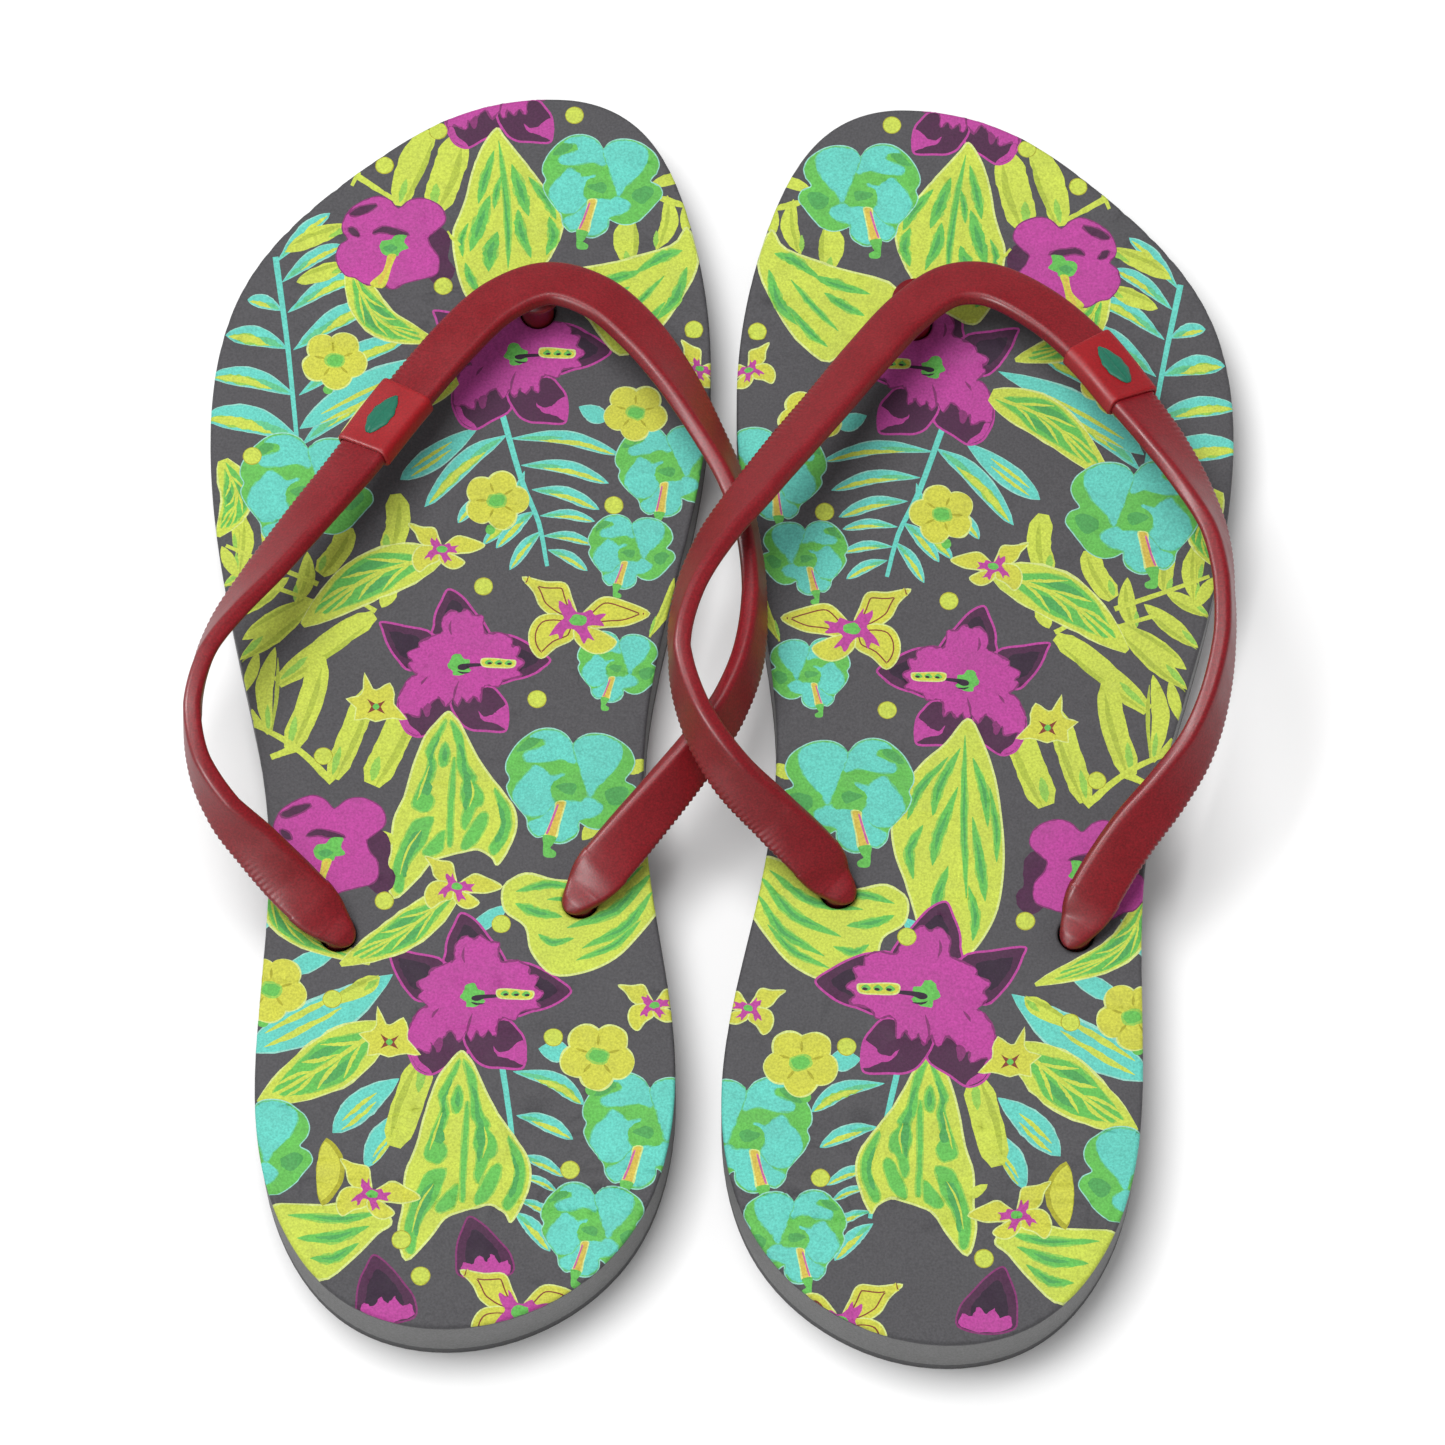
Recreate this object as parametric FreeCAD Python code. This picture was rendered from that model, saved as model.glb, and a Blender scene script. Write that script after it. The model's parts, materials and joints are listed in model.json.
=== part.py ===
"""A pair of thong sandals (flip-flops) lying side by side, toes towards +Y, modelled in millimetres.

Each sandal is a laminated sole (tread rubber, foam core, printed top sheet) and one moulded strap whose
two legs and toe post go down through holes in the sole and end in flat heads under it.  A soft band with
a small raised leaf is slipped over the outer leg.  The right strap's inner leg lies over the left one.
The origin is on the floor, midway between the sandals; the soles are mirror images about X = 0.
"""
import FreeCAD
import Part
import math
import os

V = FreeCAD.Vector

# ---- sole -------------------------------------------------------------------------------------------
# Outline of the left sole, seen from above, clockwise from the toe tip.
OUTLINE = [
    (-36, 125.5), (-17.5, 118.8), (-7.8, 100), (-2.6, 68), (-6, 34), (-12.4, -4), (-10.2, -38), (-4.4, -80),
    (-12, -107), (-42, -125.5), (-65, -121), (-79.2, -102.5), (-83.6, -66), (-83.9, -27), (-92.2, 10),
    (-99.2, 50), (-94, 84.5), (-71, 110.5),
]
TREAD_THICKNESS = 3.0
SHEET_THICKNESS = 1.2
# Height of the top of the sheet along the sole: the sole is thicker under the heel.
TOP_LINE = [(-130, 18.4), (-85, 18.2), (-20, 16.7), (45, 15.4), (90, 15.0), (130, 15.3)]
# Middles of the toe post's hole, the outer leg's hole and the inner leg's hole.
HOLES = {
    "left": [(-36.8, 80.2), (-69.4, -49.2), (-23.7, -41.0)],
    "right": [(36.8, 80.2), (70.6, -44.5), (25.2, -37.4)],
}
HOLE_RADIUS = 3.5

# ---- tread pattern ----------------------------------------------------------------------------------
GROOVE_DEPTH = 1.2
GROOVE_WIDTH = 2.4
GROOVE_PITCH = 9.0
WAVE_LENGTH = 16.0
WAVE_HEIGHT = 3.5
TREAD_RIM = 7.0
PAD_RADIUS = 13.0
SIZE_PAD = (-49, 10)

# ---- strap ------------------------------------------------------------------------------------------
STRAP_WIDTH = 10.4
STRAP_THICKNESS = 3.3
STRAP_BEVEL = 0.9
STEM_RADIUS = 2.9
POST_RADIUS = 3.1
POST_TOP = 26.2
HEAD_RADIUS = 8.0
HEAD_LOW = 0.6
HEAD_HIGH = 2.8
HEAD_GAP = 0.4
# The rounded tip past each hole: distance beyond the hole, height above the sheet, width, thickness.
TIP = [(-2.0, 3.4, 8.8, 3.8), (1.6, 2.2, 6.6, 3.4), (3.7, 1.5, 3.8, 1.9)]
# Stations of the strap's middle line from the outer hole, over the toes, to the inner hole:
# x, y, z, lean of the face towards the outside of the loop in degrees, width, thickness.
LEFT_STRAP = [
    (-74.4, -45.2, 23.8, 18, 10.0, 3.6),
    (-78.8, -41.8, 27.0, 30, STRAP_WIDTH, STRAP_THICKNESS), (-84.4, -37.2, 31.4, 46, STRAP_WIDTH, STRAP_THICKNESS),
    (-91.2, -31.0, 35.8, 68, STRAP_WIDTH, STRAP_THICKNESS), (-96.0, -22.8, 39.2, 82, STRAP_WIDTH, STRAP_THICKNESS),
    (-97.5, -13.2, 41.0, 88, STRAP_WIDTH, STRAP_THICKNESS), (-96.0, -3.2, 40.8, 80, STRAP_WIDTH, STRAP_THICKNESS),
    (-92.1, 5.9, 39.6, 62, STRAP_WIDTH, STRAP_THICKNESS), (-85.5, 16.4, 37.8, 45, STRAP_WIDTH, STRAP_THICKNESS),
    (-77.4, 29.0, 35.4, 33, STRAP_WIDTH, STRAP_THICKNESS), (-69.8, 40.6, 33.2, 24, STRAP_WIDTH, STRAP_THICKNESS),
    (-61.4, 54.2, 31.0, 20, STRAP_WIDTH, STRAP_THICKNESS), (-51.6, 68.2, 29.0, 18, STRAP_WIDTH, STRAP_THICKNESS),
    (-43.6, 77.0, 27.8, 21, STRAP_WIDTH, STRAP_THICKNESS), (-34.4, 81.2, 27.2, 27, STRAP_WIDTH, STRAP_THICKNESS),
    (-25.0, 78.5, 27.6, 25, STRAP_WIDTH, STRAP_THICKNESS), (-17.0, 71.6, 28.4, 29, STRAP_WIDTH, STRAP_THICKNESS),
    (-9.7, 62.2, 29.2, 42, STRAP_WIDTH, STRAP_THICKNESS), (-3.2, 51.4, 29.6, 56, STRAP_WIDTH, STRAP_THICKNESS),
    (2.3, 40.6, 29.8, 68, STRAP_WIDTH, STRAP_THICKNESS), (6.0, 29.0, 30.0, 78, STRAP_WIDTH, STRAP_THICKNESS),
    (7.6, 16.6, 30.4, 78, STRAP_WIDTH, STRAP_THICKNESS), (6.9, 4.7, 31.0, 70, STRAP_WIDTH, STRAP_THICKNESS),
    (3.6, -5.4, 30.8, 64, STRAP_WIDTH, STRAP_THICKNESS), (-1.6, -14.0, 29.8, 54, STRAP_WIDTH, STRAP_THICKNESS),
    (-8.2, -22.8, 28.0, 42, STRAP_WIDTH, STRAP_THICKNESS), (-14.5, -30.4, 25.6, 32, STRAP_WIDTH, STRAP_THICKNESS),
    (-19.6, -36.4, 23.2, 18, 10.0, 3.6),
]
# The same for the right strap, whose outer leg comes first too.
RIGHT_STRAP = [
    (73.2, -39.6, 23.8, 18, 10.0, 3.6),
    (76.8, -33.6, 27.0, 30, STRAP_WIDTH, STRAP_THICKNESS), (81.0, -27.8, 30.4, 34, STRAP_WIDTH, STRAP_THICKNESS),
    (86.7, -20.8, 33.6, 47, STRAP_WIDTH, STRAP_THICKNESS), (92.0, -12.6, 36.6, 62, STRAP_WIDTH, STRAP_THICKNESS),
    (95.2, -3.2, 38.8, 72, STRAP_WIDTH, STRAP_THICKNESS), (96.8, 7.9, 40.0, 80, STRAP_WIDTH, STRAP_THICKNESS),
    (96.5, 18.8, 39.8, 80, STRAP_WIDTH, STRAP_THICKNESS), (94.8, 29.4, 38.4, 69, STRAP_WIDTH, STRAP_THICKNESS),
    (90.5, 39.8, 36.2, 52, STRAP_WIDTH, STRAP_THICKNESS), (84.8, 49.8, 34.0, 37, STRAP_WIDTH, STRAP_THICKNESS),
    (78.0, 59.6, 31.8, 28, STRAP_WIDTH, STRAP_THICKNESS), (69.8, 70.4, 29.8, 24, STRAP_WIDTH, STRAP_THICKNESS),
    (60.6, 78.7, 28.4, 23, STRAP_WIDTH, STRAP_THICKNESS), (50.9, 83.6, 27.6, 26, STRAP_WIDTH, STRAP_THICKNESS),
    (43.0, 82.9, 27.8, 27, STRAP_WIDTH, STRAP_THICKNESS), (35.4, 76.5, 29.2, 26, STRAP_WIDTH, STRAP_THICKNESS),
    (27.7, 66.1, 32.0, 28, STRAP_WIDTH, STRAP_THICKNESS), (20.6, 55.3, 35.2, 30, STRAP_WIDTH, STRAP_THICKNESS),
    (13.3, 44.4, 38.6, 33, STRAP_WIDTH, STRAP_THICKNESS), (6.5, 34.0, 41.4, 40, STRAP_WIDTH, STRAP_THICKNESS),
    (-0.1, 23.5, 43.4, 51, STRAP_WIDTH, STRAP_THICKNESS), (-4.8, 12.2, 44.4, 68, STRAP_WIDTH, STRAP_THICKNESS),
    (-6.2, 0.2, 44.6, 83, STRAP_WIDTH, STRAP_THICKNESS), (-3.0, -11.4, 43.2, 70, STRAP_WIDTH, STRAP_THICKNESS),
    (4.0, -21.4, 38.6, 53, STRAP_WIDTH, STRAP_THICKNESS), (12.8, -28.0, 31.6, 41, STRAP_WIDTH, STRAP_THICKNESS),
    (20.4, -33.2, 25.2, 22, 10.2, 3.5),
]

# ---- badge on the outer leg -------------------------------------------------------------------------
BAND_LENGTH = 15.5
BAND_CLEARANCE = 0.15
BAND_WALL = 0.6
LEAF_LENGTH = 9.8
LEAF_WIDTH = 4.8
LEAF_THICKNESS = 0.5
LEAF_GAP = 0.05
# Middle of the band, as a place counted in the stations above.
LEFT_BADGE = 10.65
RIGHT_BADGE = 11.45

BIG = 300.0


# ---- the sole ---------------------------------------------------------------------------------------
def mirrored(points, side):
    """The left sole's points, or their mirror images for the right one."""
    return [(x if side == "left" else -x, y) for x, y in points]


def outline_wire(side):
    curve = Part.BSplineCurve()
    curve.interpolate([V(x, y, 0) for x, y in mirrored(OUTLINE, side)], PeriodicFlag=True)
    return Part.Wire([curve.toShape()])


def slab(drop_low, drop_high, low_is_floor=False):
    """A wide slab between two copies of the top line, each lowered by its drop, or down to the floor."""
    def line(drop):
        curve = Part.BSplineCurve()
        curve.interpolate([V(-BIG / 2, y, z - drop) for y, z in TOP_LINE])
        return curve.toShape()

    first_y, first_z = TOP_LINE[0]
    last_y, last_z = TOP_LINE[-1]
    top = line(drop_high)
    if low_is_floor:
        bottom = Part.makeLine(V(-BIG / 2, first_y, drop_low), V(-BIG / 2, last_y, drop_low))
        low_first, low_last = drop_low, drop_low
    else:
        bottom = line(drop_low)
        low_first, low_last = first_z - drop_low, last_z - drop_low
    front = Part.makeLine(V(-BIG / 2, last_y, last_z - drop_high), V(-BIG / 2, last_y, low_last))
    back = Part.makeLine(V(-BIG / 2, first_y, low_first), V(-BIG / 2, first_y, first_z - drop_high))
    face = Part.Face(Part.Wire(Part.__sortEdges__([top, front, bottom, back])))
    return face.extrude(V(BIG, 0, 0))


def column(side):
    """An upright prism on the sole's outline."""
    return Part.Face(outline_wire(side)).extrude(V(0, 0, BIG / 2))


def holes(side, radius, low, high):
    return [Part.makeCylinder(radius, high - low, V(x, y, low)) for x, y in HOLES[side]]


def sheet(side):
    """The printed top sheet."""
    body = column(side).common(slab(SHEET_THICKNESS, 0.0))
    return body.cut(Part.makeCompound(holes(side, HOLE_RADIUS, -1, BIG / 4))).Solids[0]


def core(side):
    """The foam core between tread and sheet, recessed underneath for the strap's heads."""
    body = column(side).common(slab(TREAD_THICKNESS, SHEET_THICKNESS, low_is_floor=True)).Solids[0]
    recess = holes(side, HEAD_RADIUS + HEAD_GAP, -1, HEAD_HIGH + HEAD_GAP)
    return body.cut(Part.makeCompound(holes(side, HOLE_RADIUS, -1, BIG / 4) + recess)).Solids[0]


def reach(points, y):
    """The outline's least and greatest X at a height of Y, on a closed list of its points."""
    pairs = zip(points, points[1:] + points[:1])
    xs = [a.x + (b.x - a.x) * (y - a.y) / (b.y - a.y) for a, b in pairs if (a.y - y) * (b.y - y) < 0]
    return min(xs), max(xs)


def zigzag(y, left, right):
    """One zigzag groove of the left tread, between two X limits."""
    count = max(2, round((right - left) / (WAVE_LENGTH / 2)))
    step = (right - left) / count
    upper = [(left + i * step, y + GROOVE_WIDTH / 2 + (WAVE_HEIGHT if i % 2 else 0)) for i in range(count + 1)]
    lower = [(x, upper_y - GROOVE_WIDTH) for x, upper_y in reversed(upper)]
    return upper + lower


def grooves(side):
    """Zigzag grooves across the sole inside a plain rim."""
    points = outline_wire("left").Edges[0].discretize(600)[:-1]
    bodies = []
    for i in range(int(232 / GROOVE_PITCH) + 1):
        y = -113 + i * GROOVE_PITCH
        spans = [reach(points, y + shift) for shift in (-GROOVE_WIDTH, 0, GROOVE_WIDTH / 2 + WAVE_HEIGHT)]
        left = max(span[0] for span in spans) + TREAD_RIM
        right = min(span[1] for span in spans) - TREAD_RIM
        ring = [V(x, y, -1) for x, y in mirrored(zigzag(y, left, right), side)]
        bodies.append(Part.Face(Part.makePolygon(ring + ring[:1])).extrude(V(0, 0, 1 + GROOVE_DEPTH)))
    return Part.makeCompound(bodies)


def tread(side):
    """The rubber tread, left plain round each head's recess and in the middle, where a size is marked."""
    body = Part.Face(outline_wire(side)).extrude(V(0, 0, TREAD_THICKNESS))
    (pad_x, pad_y), = mirrored([SIZE_PAD], side)
    pads = holes(side, PAD_RADIUS, -2, 5) + [Part.makeCylinder(PAD_RADIUS, 7, V(pad_x, pad_y, -2))]
    recess = holes(side, HEAD_RADIUS + HEAD_GAP, -1, TREAD_THICKNESS + 1)
    return body.cut(grooves(side).cut(Part.makeCompound(pads))).cut(Part.makeCompound(recess)).Solids[0]


# ---- the strap --------------------------------------------------------------------------------------
def sheet_height(y):
    """Height of the sheet's top at a Y, between the points of the top line."""
    for (y0, z0), (y1, z1) in zip(TOP_LINE, TOP_LINE[1:]):
        if y0 <= y <= y1:
            return z0 + (z1 - z0) * (y - y0) / (y1 - y0)
    raise ValueError(f"{y} is off the sole")


def tip(hole, nearest):
    """Stations of a leg's rounded tip, from its end beyond the hole back towards the leg."""
    x, y = hole
    dx, dy = x - nearest[0], y - nearest[1]
    length = math.hypot(dx, dy)
    return [(x + dx / length * along, y + dy / length * along, sheet_height(y) + up, 6, width, thickness)
            for along, up, width, thickness in reversed(TIP)]


def all_stations(side):
    """The strap's stations with both tips, from the outer hole to the inner hole."""
    middle = LEFT_STRAP if side == "left" else RIGHT_STRAP
    _post, outer, inner = HOLES[side]
    return tip(outer, middle[0]) + middle + tip(inner, middle[-1])[::-1]


def unit(vector):
    return vector / vector.Length


class Path:
    """A smooth line through the stations, with the strap's frame at each place along it."""

    def __init__(self, side):
        self.rows = all_stations(side)
        self.outside = 1 if side == "left" else -1
        self.points = [V(*row[:3]) for row in self.rows]
        self.lengths = [0.0]
        for a, b in zip(self.points, self.points[1:]):
            self.lengths.append(self.lengths[-1] + (b - a).Length)

    def slope(self, i):
        """The line's direction at station i, per millimetre."""
        low, high = max(i - 1, 0), min(i + 1, len(self.points) - 1)
        return (self.points[high] - self.points[low]) / (self.lengths[high] - self.lengths[low])

    def at(self, place):
        """Middle point, direction, lean, width and thickness at a place, counted in stations."""
        i = min(int(place), len(self.points) - 2)
        u = place - i
        span = self.lengths[i + 1] - self.lengths[i]
        a, b = self.points[i], self.points[i + 1]
        ta, tb = self.slope(i) * span, self.slope(i + 1) * span
        point = (a * (2 * u**3 - 3 * u**2 + 1) + ta * (u**3 - 2 * u**2 + u)
                 + b * (3 * u**2 - 2 * u**3) + tb * (u**3 - u**2))
        direction = (a * (6 * u**2 - 6 * u) + ta * (3 * u**2 - 4 * u + 1)
                     + b * (6 * u - 6 * u**2) + tb * (3 * u**2 - 2 * u))
        first, second = self.rows[i][3:], self.rows[i + 1][3:]
        lean, width, thickness = (p + (q - p) * u for p, q in zip(first, second))
        return point, unit(direction), lean, width, thickness

    def frame(self, place):
        """Middle point, sideways vector towards the outside of the loop and outward normal of the face."""
        point, direction, lean, width, thickness = self.at(place)
        sideways = unit(V(0, 0, 1).cross(direction)) * self.outside
        normal = unit(sideways.cross(direction)) * -self.outside
        angle = math.radians(lean)
        tilted = normal * math.cos(angle) + sideways * math.sin(angle)
        across = sideways * math.cos(angle) - normal * math.sin(angle)
        return point, across, tilted, width, thickness

    def place_at(self, length):
        """The place that lies this far along the line."""
        i = max(k for k, value in enumerate(self.lengths[:-1]) if value <= length)
        return i + (length - self.lengths[i]) / (self.lengths[i + 1] - self.lengths[i])

    def length_at(self, place):
        i = int(place)
        return self.lengths[i] + (place - i) * (self.lengths[i + 1] - self.lengths[i])


def bevelled(point, across, normal, width, thickness, bevel, lift=0.0):
    """A closed eight-sided section: a rectangle with bevelled corners."""
    bevel = min(bevel, 0.3 * thickness)
    w, t = width / 2, thickness / 2
    corners = [(w - bevel, t), (w, t - bevel), (w, bevel - t), (w - bevel, -t)]
    corners += [(-x, y) for x, y in reversed(corners)]
    points = [point + across * x + normal * (y + lift) for x, y in corners]
    return Part.makePolygon(points + points[:1])


def strap(side):
    """One moulding: both legs in one sweep over the toes, with the stems, the toe post and three heads."""
    path = Path(side)
    wires = []
    for i in range(len(path.rows)):
        wires.append(bevelled(*path.frame(i), STRAP_BEVEL))
    legs = Part.makeLoft(wires, True, False)
    (x, y), *places = HOLES[side]
    stems = [Part.makeCylinder(STEM_RADIUS, sheet_height(v) + 2.0 - HEAD_LOW, V(u, v, HEAD_LOW)) for u, v in places]
    post = Part.makeCylinder(POST_RADIUS, POST_TOP - HEAD_LOW, V(x, y, HEAD_LOW))
    heads = holes(side, HEAD_RADIUS, HEAD_LOW, HEAD_HIGH)
    return legs.fuse(stems + [post] + heads).removeSplitter().Solids


def badge_places(side, length, count):
    """Places along the strap, spread evenly over a length about the badge's middle."""
    path = Path(side)
    middle = path.length_at((LEFT_BADGE if side == "left" else RIGHT_BADGE) + len(TIP))
    return path, [path.place_at(middle + length * (i / (count - 1) - 0.5)) for i in range(count)]


def band(side):
    """The soft band round the outer leg."""
    path, places = badge_places(side, BAND_LENGTH, 4)

    def tube(grow):
        wires = []
        for place in places:
            point, across, normal, width, thickness = path.frame(place)
            wires.append(bevelled(point, across, normal, width + grow, thickness + grow, STRAP_BEVEL))
        return Part.makeLoft(wires, True, False)

    return tube(2 * (BAND_CLEARANCE + BAND_WALL)).cut(tube(2 * BAND_CLEARANCE)).Solids[0]


def leaf(side):
    """A plain raised leaf on top of the band."""
    path, places = badge_places(side, LEAF_LENGTH, 7)
    wires = []
    for i, place in enumerate(places):
        point, across, normal, _width, thickness = path.frame(place)
        shape = math.sin(math.pi * (0.06 + 0.88 * i / (len(places) - 1)))
        lift = thickness / 2 + BAND_CLEARANCE + BAND_WALL + LEAF_GAP + LEAF_THICKNESS / 2
        wires.append(bevelled(point, across, normal, LEAF_WIDTH * shape, LEAF_THICKNESS, 0.1, lift))
    return Part.makeLoft(wires, True, False)


def main():
    os.makedirs("parts", exist_ok=True)
    for side in ("left", "right"):
        pieces = {"tread": tread(side), "core": core(side), "footbed": sheet(side),
                  "strap": strap(side), "badge_band": band(side), "badge_leaf": leaf(side)}
        for name, shape in pieces.items():
            solids = shape if isinstance(shape, list) else [shape]
            whole = solids[0] if len(solids) == 1 else Part.makeCompound(solids)
            box = whole.BoundBox
            print(f"{side}_{name}: {len(solids)} solid, valid {whole.isValid()}, {whole.Volume / 1000:.2f} cm3, "
                  f"x {box.XMin:.1f} to {box.XMax:.1f}, y {box.YMin:.1f} to {box.YMax:.1f}, "
                  f"z {box.ZMin:.1f} to {box.ZMax:.1f}")
            whole.exportStep(f"parts/{side}_{name}.step")


main()
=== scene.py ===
"""Looks of the pair of thong sandals: printed sheets, foam soles, moulded straps, bands and leaf badges.

Lengths in the tables are millimetres in the part's own frame, and MM turns them into metres.  The print
is laid out in the left sandal's frame, with a few differences on the right one, whose sheet is mirrored.
"""
import json
import math
import random

import bmesh
import bpy
import numpy as np
from mathutils import Matrix, Vector, kdtree
from mathutils.geometry import delaunay_2d_cdt

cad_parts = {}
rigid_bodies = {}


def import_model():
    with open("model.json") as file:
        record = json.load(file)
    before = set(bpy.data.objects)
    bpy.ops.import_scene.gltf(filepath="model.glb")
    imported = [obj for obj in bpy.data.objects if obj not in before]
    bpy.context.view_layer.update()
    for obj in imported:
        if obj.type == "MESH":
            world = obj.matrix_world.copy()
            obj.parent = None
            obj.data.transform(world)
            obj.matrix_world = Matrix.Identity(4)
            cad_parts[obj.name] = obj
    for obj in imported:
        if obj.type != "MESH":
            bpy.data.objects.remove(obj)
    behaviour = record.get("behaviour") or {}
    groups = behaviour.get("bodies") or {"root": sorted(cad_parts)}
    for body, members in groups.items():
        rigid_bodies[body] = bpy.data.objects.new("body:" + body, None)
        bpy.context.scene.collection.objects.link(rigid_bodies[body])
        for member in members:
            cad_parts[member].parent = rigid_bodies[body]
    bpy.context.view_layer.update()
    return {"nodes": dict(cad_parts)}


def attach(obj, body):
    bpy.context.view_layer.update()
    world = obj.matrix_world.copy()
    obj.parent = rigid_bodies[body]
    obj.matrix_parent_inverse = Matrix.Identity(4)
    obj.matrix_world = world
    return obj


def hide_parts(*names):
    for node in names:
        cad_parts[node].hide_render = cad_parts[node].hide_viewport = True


MM = 0.001
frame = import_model()
nodes = frame["nodes"]
scene = bpy.context.scene

# ---- sole, as in the CAD model ----------------------------------------------------------------------
TOP_LINE = [(-130, 18.4), (-85, 18.2), (-20, 16.7), (45, 15.4), (90, 15.0), (130, 15.3)]
SHEET_THICKNESS = 1.2
TREAD_THICKNESS = 3.0
# Middles of the toe post's hole, the outer leg's hole and the inner leg's hole.
HOLES = {
    "left": [(-36.8, 80.2), (-69.4, -49.2), (-23.7, -41.0)],
    "right": [(36.8, 80.2), (70.6, -44.5), (25.2, -37.4)],
}
HOLE_RADIUS = 3.5
EDGE_ROLL = 0.8
HOLE_ROLL = 0.6
SOLE_MIDDLE = (-48, 0)

# ---- strap stations, as in the CAD model --------------------------------------------------------------
# x, y, z and lean in degrees, then width and thickness where they aren't the usual ones.
STRAP_WIDTH = 10.4
STRAP_THICKNESS = 3.3
# Distance past the hole, height above the sheet, width and thickness.
TIP = [(-2.0, 3.4, 8.8, 3.8), (1.6, 2.2, 6.6, 3.4), (3.7, 1.5, 3.8, 1.9)]
LEFT_STRAP = [
    (-74.4, -45.2, 23.8, 18, 10.0, 3.6), (-78.8, -41.8, 27.0, 30), (-84.4, -37.2, 31.4, 46),
    (-91.2, -31.0, 35.8, 68), (-96.0, -22.8, 39.2, 82), (-97.5, -13.2, 41.0, 88), (-96.0, -3.2, 40.8, 80),
    (-92.1, 5.9, 39.6, 62), (-85.5, 16.4, 37.8, 45), (-77.4, 29.0, 35.4, 33), (-69.8, 40.6, 33.2, 24),
    (-61.4, 54.2, 31.0, 20), (-51.6, 68.2, 29.0, 18), (-43.6, 77.0, 27.8, 21), (-34.4, 81.2, 27.2, 27),
    (-25.0, 78.5, 27.6, 25), (-17.0, 71.6, 28.4, 29), (-9.7, 62.2, 29.2, 42), (-3.2, 51.4, 29.6, 56),
    (2.3, 40.6, 29.8, 68), (6.0, 29.0, 30.0, 78), (7.6, 16.6, 30.4, 78), (6.9, 4.7, 31.0, 70),
    (3.6, -5.4, 30.8, 64), (-1.6, -14.0, 29.8, 54), (-8.2, -22.8, 28.0, 42), (-14.5, -30.4, 25.6, 32),
    (-19.6, -36.4, 23.2, 18, 10.0, 3.6),
]
RIGHT_STRAP = [
    (73.2, -39.6, 23.8, 18, 10.0, 3.6), (76.8, -33.6, 27.0, 30), (81.0, -27.8, 30.4, 34),
    (86.7, -20.8, 33.6, 47), (92.0, -12.6, 36.6, 62), (95.2, -3.2, 38.8, 72), (96.8, 7.9, 40.0, 80),
    (96.5, 18.8, 39.8, 80), (94.8, 29.4, 38.4, 69), (90.5, 39.8, 36.2, 52), (84.8, 49.8, 34.0, 37),
    (78.0, 59.6, 31.8, 28), (69.8, 70.4, 29.8, 24), (60.6, 78.7, 28.4, 23), (50.9, 83.6, 27.6, 26),
    (43.0, 82.9, 27.8, 27), (35.4, 76.5, 29.2, 26), (27.7, 66.1, 32.0, 28), (20.6, 55.3, 35.2, 30),
    (13.3, 44.4, 38.6, 33), (6.5, 34.0, 41.4, 40), (-0.1, 23.5, 43.4, 51), (-4.8, 12.2, 44.4, 68),
    (-6.2, 0.2, 44.6, 83), (-3.0, -11.4, 43.2, 70), (4.0, -21.4, 38.6, 53), (12.8, -28.0, 31.6, 41),
    (20.4, -33.2, 25.2, 22, 10.2, 3.5),
]
# Station numbers of the badges and of the straps' foremost points.
BADGE_AT = {"left": 10.65, "right": 11.45}
APEX_AT = {"left": 17.6, "right": 17.9}


# ---- colours ------------------------------------------------------------------------------------------
def linear(red, green, blue):
    """Linear colour of an sRGB colour given as 0 to 255."""
    def one(c):
        c /= 255
        return c / 12.92 if c <= 0.04045 else ((c + 0.055) / 1.055) ** 2.4
    return (one(red), one(green), one(blue), 1.0)


INK = {
    "ground": linear(88, 87, 90),
    "magenta": linear(198, 74, 164),
    "pink": linear(214, 108, 170),
    "mauve": linear(142, 56, 118),
    "plum": linear(84, 44, 76),
    "dark_plum": linear(56, 38, 58),
    "lime": linear(212, 228, 88),
    "pale_lime": linear(226, 240, 148),
    "fresh": linear(158, 214, 90),
    "green": linear(110, 202, 92),
    "deep_green": linear(88, 176, 94),
    "yellow": linear(218, 220, 80),
    "ochre": linear(182, 180, 52),
    "turquoise": linear(110, 220, 204),
    "aqua": linear(160, 228, 212),
    "sea": linear(108, 208, 150),
    "brown": linear(140, 66, 52),
    "orange": linear(226, 200, 86),
    "olive": linear(186, 204, 74),
}


# ---- node helpers ---------------------------------------------------------------------------------------
def material(name):
    """A new material, its shader and a function that adds a node and links inputs given as sockets."""
    mat = bpy.data.materials.new(name)
    mat.use_nodes = True
    tree = mat.node_tree
    shader = tree.nodes["Principled BSDF"]

    def add(kind, inputs=(), **settings):
        node = tree.nodes.new(kind)
        for key, value in settings.items():
            setattr(node, key, value)
        for key, value in dict(inputs).items():
            if isinstance(value, bpy.types.NodeSocket):
                tree.links.new(value, node.inputs[key])
            else:
                node.inputs[key].default_value = value
        return node

    return mat, shader, add, tree.links.new


def grain(add, scale, detail=4.0, rough=0.6):
    """Noise on the object's own coordinates."""
    where = add("ShaderNodeTexCoord")
    return add("ShaderNodeTexNoise",
               {"Vector": where.outputs["Object"], "Scale": scale, "Detail": detail, "Roughness": rough})


def ranged(add, value, low, high, start=0.0, end=1.0):
    """A value from start to end mapped onto low to high."""
    node = add("ShaderNodeMapRange", {"Value": value, "From Min": start, "From Max": end, "To Min": low,
                                      "To Max": high})
    return node.outputs["Result"]


def tinted(add, colour, factor):
    """A colour multiplied by a grey factor."""
    node = add("ShaderNodeVectorMath", {0: colour, "Scale": factor}, operation="SCALE")
    return node.outputs["Vector"]


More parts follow.
